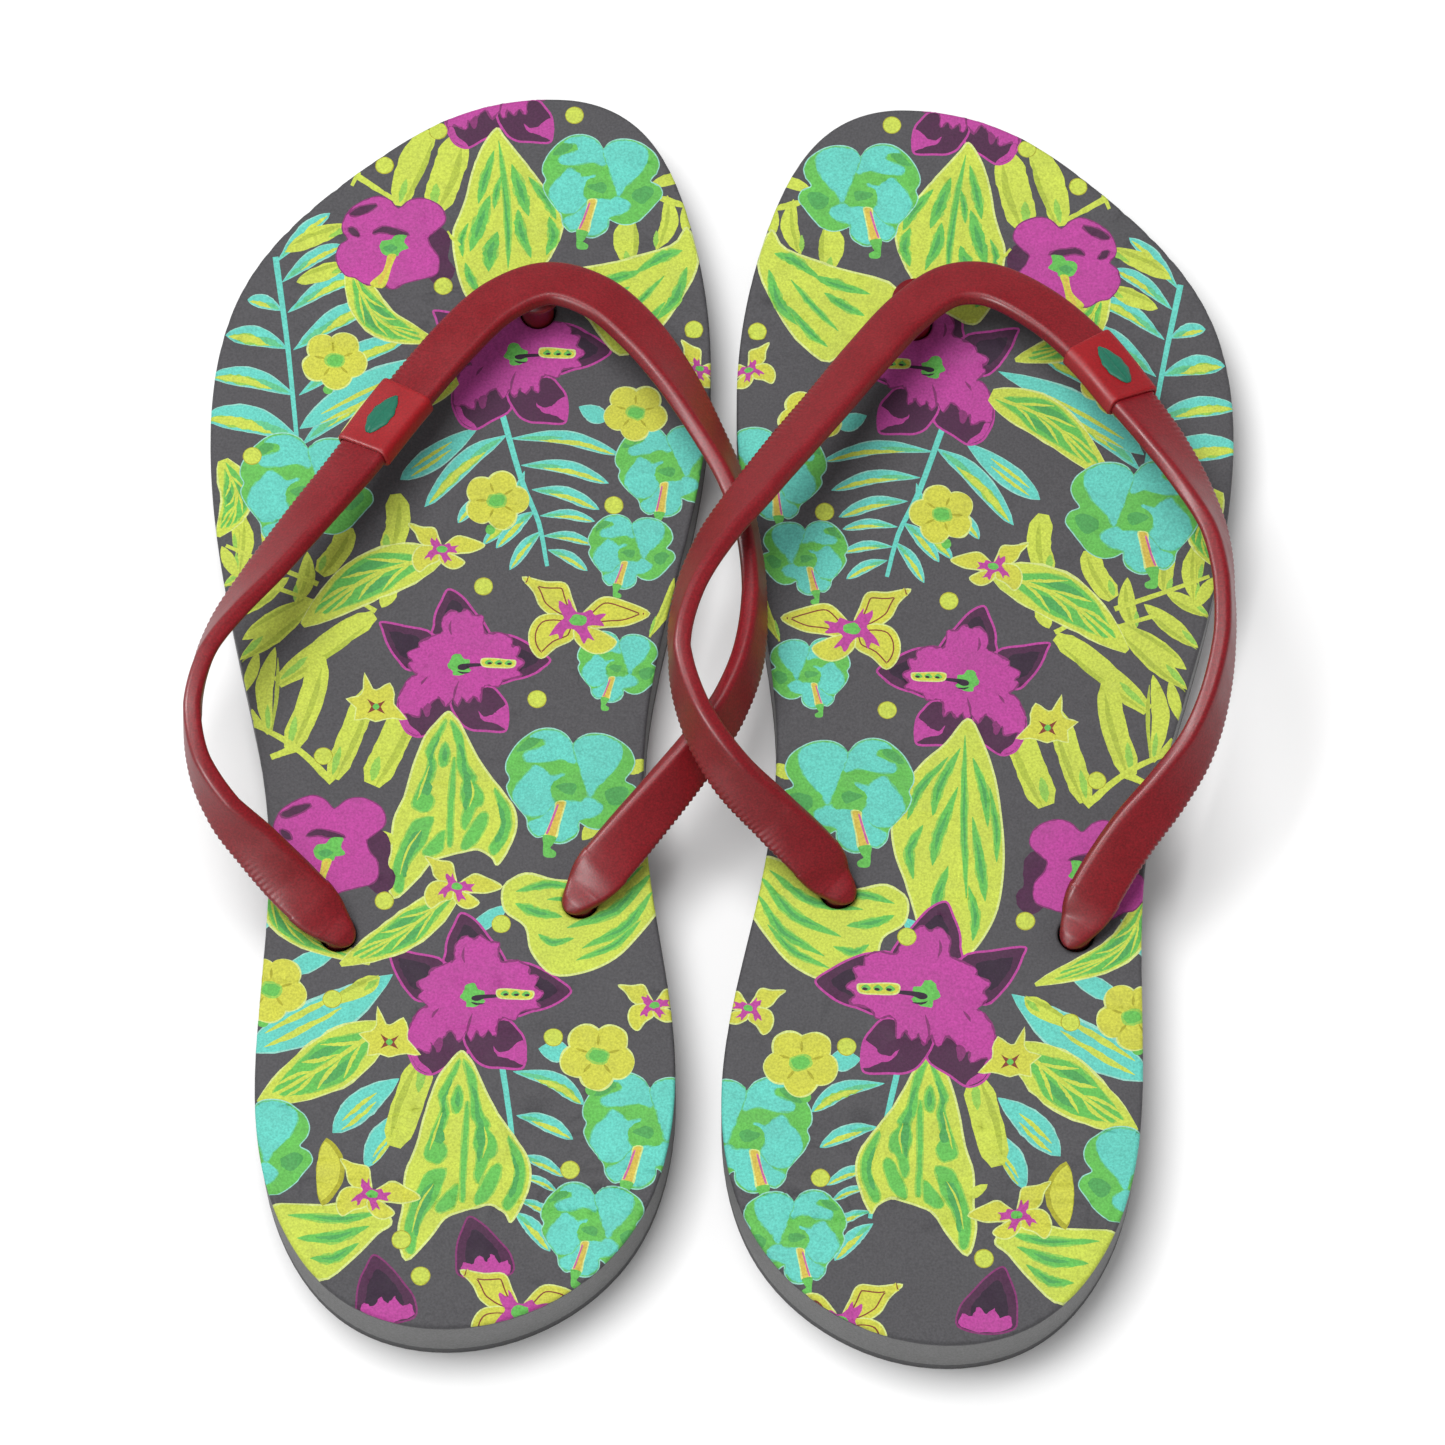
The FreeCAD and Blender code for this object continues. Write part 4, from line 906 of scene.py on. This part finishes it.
def lay_sheet(outline, heights, print_rings, hole_places):
    """A printed sheet of the left sandal's shape: points, faces, and a colour for each face."""
    points, edges, painted = [], [], []

    def add_ring(rows):
        first = len(points)
        points.extend(Vector((float(a), float(b))) for a, b in rows)
        loop = list(range(first, len(points)))
        edges.extend(zip(loop, loop[1:] + loop[:1]))

    add_ring(outline)
    for colour, rows in print_rings:
        keep = [rows[0]]
        for row in rows[1:]:
            if math.dist(row, keep[-1]) > 0.1:
                keep.append(row)
        if math.dist(keep[-1], keep[0]) < 0.1:
            keep.pop()
        if len(keep) > 2:
            add_ring(keep)
            painted.append((colour, np.array(keep)))
    for x, y in hole_places:
        for part in (0.0, 0.35, 1.0):
            add_ring(circle(x, y, HOLE_RADIUS + HOLE_ROLL * part, 48))
    for part in (0.12, 0.35, 0.65, 1.0):
        add_ring(inset(outline, EDGE_ROLL * part))
    for y in np.arange(-122, 124, 4.0):
        for x in np.arange(-98, 0, 12.0):
            points.append(Vector((float(x), float(y))))

    verts, _edges, tris, _ov, _oe, _of = delaunay_2d_cdt(points, edges, [], 0, 1e-4, False)
    flat_verts = np.array([tuple(v) for v in verts])
    tris = np.array([tuple(t) for t in tris])
    centres = flat_verts[tris].mean(axis=1)
    on_sole = inside_ring(centres, outline)
    for x, y in hole_places:
        on_sole &= np.hypot(centres[:, 0] - x, centres[:, 1] - y) > HOLE_RADIUS * 0.998
    tris, centres = tris[on_sole], centres[on_sole]
    top_colour = np.full(len(tris), "ground", dtype=object)
    for colour, rows in painted:
        low, high = rows.min(axis=0), rows.max(axis=0)
        near = np.nonzero(np.all((centres >= low) & (centres <= high), axis=1))[0]
        if len(near):
            top_colour[near[inside_ring(centres[near], rows)]] = colour
    rim = kdtree.KDTree(len(outline) * 8)
    dense = along(outline, 8, closed=True)
    for i, (x, y) in enumerate(dense):
        rim.insert((x, y, 0), i)
    rim.balance()

    def height(x, y):
        top = float(np.interp(y, *heights))
        edge = rim.find((x, y, 0))[2]
        hole = min(abs(math.dist((x, y), h) - HOLE_RADIUS) for h in hole_places)
        drop = 0.0
        for distance, roll in ((edge, EDGE_ROLL), (hole, HOLE_ROLL)):
            if distance < roll:
                drop = max(drop, roll - math.sqrt(max(0.0, roll**2 - (roll - distance) ** 2)))
        return top - drop

    kept = [tuple(int(i) for i in tri) for tri in tris]
    kept_colours = list(top_colour)
    used = sorted({i for tri in kept for i in tri})
    index = {old: new for new, old in enumerate(used)}
    top = [(verts[i].x, verts[i].y, height(verts[i].x, verts[i].y)) for i in used]
    tris = [tuple(index[i] for i in tri) for tri in kept]
    # rims: edges with one triangle, walked in the triangles' direction
    count = {}
    for a, b, c in tris:
        for edge in ((a, b), (b, c), (c, a)):
            count[edge] = True
    rims = [edge for edge in count if (edge[1], edge[0]) not in count]
    below = {}
    verts3 = list(top)
    for a, _b in rims:
        x, y, _z = top[a]
        below[a] = len(verts3)
        verts3.append((x, y, float(np.interp(y, *heights)) - SHEET_THICKNESS))
    faces3 = list(tris)
    names = list(kept_colours)
    for a, b in rims:
        faces3.append((b, a, below[a], below[b]))
        names.append("ground")
    # underside, between the same rims
    order = list(below.values())
    flat = [Vector(verts3[i][:2]) for i in order]
    place = {a: k for k, a in enumerate(below)}
    grid = [Vector((float(x), float(y))) for y in np.arange(-120, 122, 10.0) for x in np.arange(-94, 0, 16.0)]
    low_verts, _e, low_tris, low_origin, _oe, _of = delaunay_2d_cdt(
        flat + grid, [(place[a], place[b]) for a, b in rims], [], 0, 1e-5, True)
    low_flat = np.array([tuple(v) for v in low_verts])
    low_tris = np.array([tuple(t) for t in low_tris])
    centres = low_flat[low_tris].mean(axis=1)
    on_sole = inside_ring(centres, outline)
    for x, y in hole_places:
        on_sole &= np.hypot(centres[:, 0] - x, centres[:, 1] - y) > HOLE_RADIUS * 0.998
    low_tris = low_tris[on_sole]
    mapping = {}
    for k in sorted({int(i) for tri in low_tris for i in tri}):
        real = [source for source in low_origin[k] if source < len(order)]
        if real:
            mapping[k] = order[real[0]]
        else:
            mapping[k] = len(verts3)
            x, y = low_flat[k]
            verts3.append((float(x), float(y), float(np.interp(y, *heights)) - SHEET_THICKNESS))
    for tri in low_tris:
        faces3.append(tuple(mapping[int(i)] for i in reversed(tri)))
        names.append("ground")
    return verts3, faces3, names


def printed_piece(side, data):
    """The sheet as an object; the right one is the mirror image."""
    verts, faces, names = data
    if side == "right":
        verts = [(-x, y, z) for x, y, z in verts]
        faces = [tuple(reversed(f)) for f in faces]
    obj = new_object(f"{side}_printed_sheet", verts, faces)
    mesh = obj.data
    attribute = mesh.color_attributes.new("Print", "BYTE_COLOR", "CORNER")
    colour = np.ones((len(mesh.loops), 4), np.float32)
    place = 0
    for face, name in zip(faces, names):
        colour[place:place + len(face)] = INK[name]
        place += len(face)
    attribute.data.foreach_set("color", colour.ravel())
    mesh.color_attributes.active_color = attribute
    hand_over(obj, side, "print", "footbed")


def hand_over(obj, side, key, node):
    """Cleans a piece, gives it its material, puts it on its body and hides the CAD part it stands in for."""
    dressed(obj, key)
    clean(obj)
    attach(obj, f"{side}_sandal")
    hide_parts(f"{side}_{node}")


def clean(obj):
    """Merges stray doubles, drops empty faces and turns every face outwards."""
    bm = bmesh.new()
    bm.from_mesh(obj.data)
    bmesh.ops.remove_doubles(bm, verts=bm.verts, dist=1e-7)
    bmesh.ops.dissolve_degenerate(bm, edges=bm.edges, dist=1e-7)
    bmesh.ops.recalc_face_normals(bm, faces=bm.faces)
    bm.to_mesh(obj.data)
    bm.free()


# ---- the straps ---------------------------------------------------------------------------------------------
class Line:
    """The strap's middle line, as in the CAD model."""

    def __init__(self, side, heights):
        self.outside = 1 if side == "left" else -1
        middle = [row if len(row) == 6 else (*row, STRAP_WIDTH, STRAP_THICKNESS)
                  for row in (LEFT_STRAP if side == "left" else RIGHT_STRAP)]
        _post, outer, inner = HOLES[side]
        self.rows = self.tip(outer, middle[0], heights) + middle + self.tip(inner, middle[-1], heights)[::-1]
        self.points = [Vector(row[:3]) for row in self.rows]
        self.lengths = [0.0]
        for a, b in zip(self.points, self.points[1:]):
            self.lengths.append(self.lengths[-1] + (b - a).length)

    def tip(self, hole, nearest, heights):
        """Stations of a leg's rounded end."""
        ahead = Vector(hole) - Vector(nearest[:2])
        ahead.normalize()
        ground = float(np.interp(hole[1], *heights))
        return [(hole[0] + ahead.x * d, hole[1] + ahead.y * d, ground + up, 6, width, thickness)
                for d, up, width, thickness in reversed(TIP)]

    def slope(self, i):
        low, high = max(i - 1, 0), min(i + 1, len(self.points) - 1)
        return (self.points[high] - self.points[low]) / (self.lengths[high] - self.lengths[low])

    def place_at(self, length):
        i = max(k for k, value in enumerate(self.lengths[:-1]) if value <= length)
        return i + (length - self.lengths[i]) / (self.lengths[i + 1] - self.lengths[i])

    def length_at(self, place):
        i = int(place)
        return self.lengths[i] + (place - i) * (self.lengths[i + 1] - self.lengths[i])

    def frame(self, length):
        """Point, vector across to the outside, outward normal, width and thickness at a length along the line."""
        place = self.place_at(min(max(length, 0.0), self.lengths[-1] - 1e-6))
        i = min(int(place), len(self.points) - 2)
        u = place - i
        span = self.lengths[i + 1] - self.lengths[i]
        a, b = self.points[i], self.points[i + 1]
        ta, tb = self.slope(i) * span, self.slope(i + 1) * span
        point = (a * (2 * u**3 - 3 * u**2 + 1) + ta * (u**3 - 2 * u**2 + u)
                 + b * (3 * u**2 - 2 * u**3) + tb * (u**3 - u**2))
        direction = (a * (6 * u**2 - 6 * u) + ta * (3 * u**2 - 4 * u + 1)
                     + b * (6 * u - 6 * u**2) + tb * (3 * u**2 - 2 * u)).normalized()
        lean, width, thickness = (p + (q - p) * u for p, q in zip(self.rows[i][3:], self.rows[i + 1][3:]))
        sideways = Vector((0, 0, 1)).cross(direction).normalized() * self.outside
        normal = sideways.cross(direction).normalized() * -self.outside
        angle = math.radians(lean)
        tilted = normal * math.cos(angle) + sideways * math.sin(angle)
        across = sideways * math.cos(angle) - normal * math.sin(angle)
        return point, across, tilted, width, thickness


def section(width, thickness, radius, grow=0.0, crown=0.0):
    """Points of a rounded rectangle, anticlockwise from the outer edge, with its top slightly crowned."""
    w, t = width / 2 + grow, thickness / 2 + grow
    r = min(radius + grow * 0.6, t * 0.92, w * 0.92)
    points = []
    for cx, cy, start in ((w - r, t - r, 0), (r - w, t - r, 90), (r - w, r - t, 180), (w - r, r - t, 270)):
        for k in range(6):
            a = math.radians(start + 18 * k)
            points.append([cx + r * math.cos(a), cy + r * math.sin(a)])
        if start in (0, 180):
            sign = 1 if start == 0 else -1
            for k in range(1, 6):
                x = sign * (w - r) * (1 - k / 3)
                points.append([x, sign * t])
    if crown:
        for p in points:
            if p[1] > 0:
                p[1] += crown * (1 - (p[0] / w) ** 2)
    return points


RIDGE_PITCH = 1.15
RIDGE_DEPTH = 0.27
RIDGE_REACH = 2.1
RIDGES_FROM_END = 14
RIDGES_FROM_APEX = 26
STRAP_STEP = 0.19
STRAP_CORNER = 1.15
STRAP_SINK = 0.06
TIP_TAPER = 12.0
TIP_BLUNT = 0.34
TIP_CORNER = 1.6
TIP_ROUND = 5.0
POST_RADIUS = 3.1
STEM_RADIUS = 2.9
POST_TOP = 25.6
# Radius and height of the flat heads under the sole.
HEAD = [(7.2, 0.6), (7.8, 0.8), (8.0, 1.2), (8.0, 2.3), (7.6, 2.7), (7.0, 2.8)]


def ridge(length, total, apex):
    """Depth of the moulded ridges at a length along the strap: none on the tips and over the toes."""
    ends = min(1.0, max(0.0, min(length, total - length) - RIDGES_FROM_END) / 10)
    front = min(1.0, max(0.0, abs(length - apex) - RIDGES_FROM_APEX) / 16)
    return RIDGE_DEPTH * min(ends, front) * (0.5 - 0.5 * math.cos(2 * math.pi * length / RIDGE_PITCH)) ** 1.4


def sweep(rows):
    """Faces between equal rings of points given one after another, with both ends closed by a fan."""
    count = len(rows[0])
    verts = [p for row in rows for p in row]
    faces = []
    for i in range(len(rows) - 1):
        for j in range(count):
            a, b = i * count + j, i * count + (j + 1) % count
            faces.append((a, b, b + count, a + count))
    for row, flip in ((0, True), (len(rows) - 1, False)):
        centre = len(verts)
        verts.append(tuple(np.mean(np.array(rows[row]), axis=0)))
        for j in range(count):
            a, b = row * count + j, row * count + (j + 1) % count
            faces.append((b, a, centre) if flip else (a, b, centre))
    return verts, faces


def lathe(x, y, profile, count=48):
    """A closed turned body on an upright axis from radius and height pairs."""
    verts, faces = [], []
    for radius, z in profile:
        for k in range(count):
            a = 2 * math.pi * k / count
            verts.append((x + radius * math.cos(a), y + radius * math.sin(a), z))
    for i in range(len(profile) - 1):
        for k in range(count):
            a, b = i * count + k, i * count + (k + 1) % count
            faces.append((a, b, b + count, a + count))
    faces.append(tuple(reversed(range(count))))
    faces.append(tuple(range((len(profile) - 1) * count, len(profile) * count)))
    return verts, faces


def union(target, tools):
    """Joins the tools to the target with exact booleans and removes them."""
    for tool in tools:
        change = target.modifiers.new("join", "BOOLEAN")
        change.operation = "UNION"
        change.solver = "EXACT"
        change.object = tool
    graph = bpy.context.evaluated_depsgraph_get()
    graph.update()
    mesh = bpy.data.meshes.new_from_object(target.evaluated_get(graph))
    target.modifiers.clear()
    target.data = mesh
    for tool in tools:
        bpy.data.objects.remove(tool)


def strap_piece(side, line, heights):
    """One moulding: legs, tips, stems, toe post and the three heads under the sole."""
    total = line.lengths[-1]
    apex = line.length_at(APEX_AT[side])
    steps = list(np.linspace(0, 3.2, 12)) + list(np.arange(3.4, total - 3.4, STRAP_STEP)) + list(
        np.linspace(total - 3.2, total, 12))
    rows = []
    for length in steps:
        point, across, normal, width, thickness = line.frame(length)
        end = min(length, total - length)
        slim = TIP_BLUNT + (1 - TIP_BLUNT) * math.sin(math.pi / 2 * min(1.0, end / TIP_TAPER))
        slim *= math.sqrt(1 - (1 - min(1.0, (end + 0.1) / TIP_CORNER)) ** 2)
        flat = math.sqrt(1 - (1 - min(1.0, (end + 0.1) / TIP_ROUND)) ** 2)
        dent = ridge(length, total, apex)
        full = STRAP_WIDTH if end < TIP_TAPER else width
        ring = []
        crown = 0.12 + 0.5 * max(0.0, 1 - end / TIP_TAPER)
        for x, y in section(full * slim, thickness * flat, STRAP_CORNER, 0.0, crown):
            reach = max(0.0, (x - (width / 2 - RIDGE_REACH)) / RIDGE_REACH)
            x -= dent * reach
            if y > 0:
                y -= dent * 0.55 * reach**0.8
            ring.append(tuple(point + across * x + normal * (y - STRAP_SINK)))
        rows.append(ring)
    verts, faces = sweep(rows)
    strap = new_object(f"{side}_strap_moulding", verts, faces)
    clean(strap)
    tools = []
    for (x, y), radius in zip(HOLES[side], (POST_RADIUS, STEM_RADIUS, STEM_RADIUS)):
        ground = float(np.interp(y, *heights))
        shank = [(radius + 0.5, 3.2), (radius, 3.9)]
        if radius == POST_RADIUS:
            shank += [(radius, ground + 4), (radius + 0.25, ground + 6.4), (radius + 0.8, ground + 8.4),
                      (radius + 1.6, ground + 9.8), (radius + 1.6, POST_TOP + 0.9)]
        else:
            shank += [(radius, ground), (radius + 0.3, ground + 1.4), (radius, ground + 2.6)]
        tool = new_object("tool", *lathe(x, y, HEAD + shank))
        clean(tool)
        tools.append(tool)
    union(strap, tools)
    strap.data.name = strap.name
    for polygon in strap.data.polygons:
        polygon.use_smooth = True
    hand_over(strap, side, "strap", "strap")


BAND_LENGTH = 15.5
BAND_CLEARANCE = 0.15
BAND_WALL = 0.6
LEAF_LENGTH = 9.8
LEAF_WIDTH = 4.8
LEAF_THICKNESS = 0.5
LEAF_GAP = 0.05


def band_piece(side, line):
    """The soft band round the outer leg, with rounded ends and a slightly crowned face."""
    middle = line.length_at(BADGE_AT[side] + len(TIP))
    steps = [-1.0, -0.985, -0.95, -0.9] + [k / 10 for k in range(-8, 9)] + [0.9, 0.95, 0.985, 1.0]
    outer, inner = [], []
    for step in steps:
        point, across, normal, width, thickness = line.frame(middle + step * BAND_LENGTH / 2)
        edge = (1 - abs(step)) * BAND_LENGTH / 2
        soft = math.sqrt(1 - (1 - min(1.0, edge / 0.5)) ** 2)
        grow = BAND_CLEARANCE + BAND_WALL * (0.35 + 0.65 * soft)
        for ring, extra, crown in ((outer, grow, 0.1), (inner, BAND_CLEARANCE * 0.6, 0.0)):
            ring.append([tuple(point + across * x + normal * (y + (0.03 if crown else 0.0)))
                         for x, y in section(width, thickness, 1.1, extra, crown)])
    count = len(outer[0])
    rows = outer + inner[::-1]
    verts = [p for row in rows for p in row]
    faces = []
    for i in range(len(rows)):
        for j in range(count):
            a, b = i * count + j, i * count + (j + 1) % count
            c, d = ((i + 1) % len(rows)) * count + (j + 1) % count, ((i + 1) % len(rows)) * count + j
            faces.append((a, b, c, d))
    band = new_object(f"{side}_badge_rubber", verts, faces)
    hand_over(band, side, "band", "badge_band")


def leaf_piece(side, line):
    """A plain raised leaf with a sunk midrib, lying along the band."""
    middle = line.length_at(BADGE_AT[side] + len(TIP))
    across_count, along_count = 12, 28
    top, low = [], []
    for i in range(along_count + 1):
        u = i / along_count
        half = LEAF_WIDTH / 2 * max(0.03, math.sin(math.pi * (0.03 + 0.95 * u) ** 0.9) ** 0.8)
        half *= 1 + 0.05 * math.sin(u * 24)
        point, across, normal, _width, thickness = line.frame(middle + (u - 0.5) * LEAF_LENGTH)
        base = thickness / 2 + BAND_CLEARANCE + BAND_WALL + LEAF_GAP + 0.1
        for j in range(across_count + 1):
            v = 2 * j / across_count - 1
            dome = LEAF_THICKNESS * (1 - 0.75 * v**4) * min(1.0, 0.35 + 6 * min(u, 1 - u))
            rib = 0.22 * math.exp(-(v * half / 0.22) ** 2)
            vein = 0.1 * max(0.0, math.sin(10 * math.pi * (u - 0.10 * abs(v)))) ** 6 * (1 - abs(v))
            at = point + across * (v * half)
            top.append(tuple(at + normal * (base + max(0.12, dome - rib - vein))))
            low.append(tuple(at + normal * base))
    stride = across_count + 1
    verts = top + low
    shift = len(top)
    faces = []
    for i in range(along_count):
        for j in range(across_count):
            a = i * stride + j
            faces.append((a, a + 1, a + 1 + stride, a + stride))
            faces.append((shift + a, shift + a + stride, shift + a + 1 + stride, shift + a + 1))
    ring = ([j for j in range(stride)] + [i * stride + across_count for i in range(1, along_count + 1)]
            + [along_count * stride + j for j in range(across_count - 1, -1, -1)]
            + [i * stride for i in range(along_count - 1, 0, -1)])
    for a, b in zip(ring, ring[1:] + ring[:1]):
        faces.append((a, shift + a, shift + b, b))
    leaf = new_object(f"{side}_badge_leaf_relief", verts, faces)
    hand_over(leaf, side, "leaf", "badge_leaf")


# ---- making everything --------------------------------------------------------------------------------------
heights = heights_of(nodes["left_footbed"])
outline = sole_outline(nodes["left_core"])
for side in ("left", "right"):
    places = [(-abs(x), y) for x, y in HOLES[side]]
    printed_piece(side, lay_sheet(outline, heights, lay_out_print(side), places))
    line = Line(side, heights)
    strap_piece(side, line, heights)
    band_piece(side, line)
    leaf_piece(side, line)
    dressed(nodes[f"{side}_core"], "core")
    dressed(nodes[f"{side}_tread"], "tread")

# ---- floor, light and camera ----------------------------------------------------------------------------------
FLOOR_HALF = 4
WORLD_STRENGTH = 0.42
LENS = 195
SENSOR = 36

floor_mesh = bpy.data.meshes.new("floor")
floor_mesh.from_pydata([(x * FLOOR_HALF, y * FLOOR_HALF, 0) for x, y in ((-1, -1), (1, -1), (1, 1), (-1, 1))], [],
                       [(0, 1, 2, 3)])
floor = bpy.data.objects.new("floor", floor_mesh)
scene.collection.objects.link(floor)
paper, paper_shader, *_ = material("floor_paper")
paper_shader.inputs["Base Color"].default_value = (0.9, 0.9, 0.9, 1)
paper_shader.inputs["Roughness"].default_value = 0.9
paper_shader.inputs["Specular IOR Level"].default_value = 0.1
floor.data.materials.append(paper)

world = bpy.data.worlds.new("studio")
scene.world = world
world.use_nodes = True
world.node_tree.nodes["Background"].inputs["Color"].default_value = (1.0, 1.0, 1.0, 1)
world.node_tree.nodes["Background"].inputs["Strength"].default_value = WORLD_STRENGTH


def area_light(name, place, target, size, power):
    """A square soft box turned towards a target."""
    data = bpy.data.lights.new(name, "AREA")
    data.size = size
    data.energy = power
    lamp = bpy.data.objects.new(name, data)
    scene.collection.objects.link(lamp)
    lamp.location = place
    lamp.rotation_euler = (Vector(target) - Vector(place)).to_track_quat("-Z", "Y").to_euler()
    return lamp


area_light("key", (-0.33, 0.12, 1.5), (0, 0, 0), 0.75, 22)
# Two boxes that only put a gleam on the straps and bands.
gleaming = bpy.data.collections.new("gleaming")
for obj in scene.objects:
    if obj.type == "MESH" and obj.data.materials and obj.data.materials[0] in (MATERIALS["strap"],
                                                                               MATERIALS["band"]):
        gleaming.objects.link(obj)
for name, place, size, power in (("side", (-1.2, 0.25, 0.75), 0.5, 34), ("front", (-0.8, -1.0, 0.8), 0.4, 34)):
    lamp = area_light(name, place, (0, 0, 0.02), size, power)
    lamp.visible_diffuse = False
    lamp.light_linking.receiver_collection = gleaming

TARGET = Vector((0.0021, -0.0039, 0.016))
TURN = math.radians(1.91)
RISE = math.radians(70.86)
DISTANCE = 1.5
forward = Vector((-math.sin(TURN) * math.cos(RISE), math.cos(TURN) * math.cos(RISE), -math.sin(RISE)))
right = Vector((math.cos(TURN), math.sin(TURN), 0))
up = right.cross(forward)
camera_data = bpy.data.cameras.new("camera")
camera_data.lens = LENS
camera_data.sensor_width = SENSOR
camera = bpy.data.objects.new("camera", camera_data)
scene.collection.objects.link(camera)
turn = Matrix((right, up, -forward)).transposed().to_4x4()
camera.matrix_world = Matrix.Translation(TARGET - forward * DISTANCE) @ turn
scene.camera = camera
scene.view_settings.view_transform = "Standard"
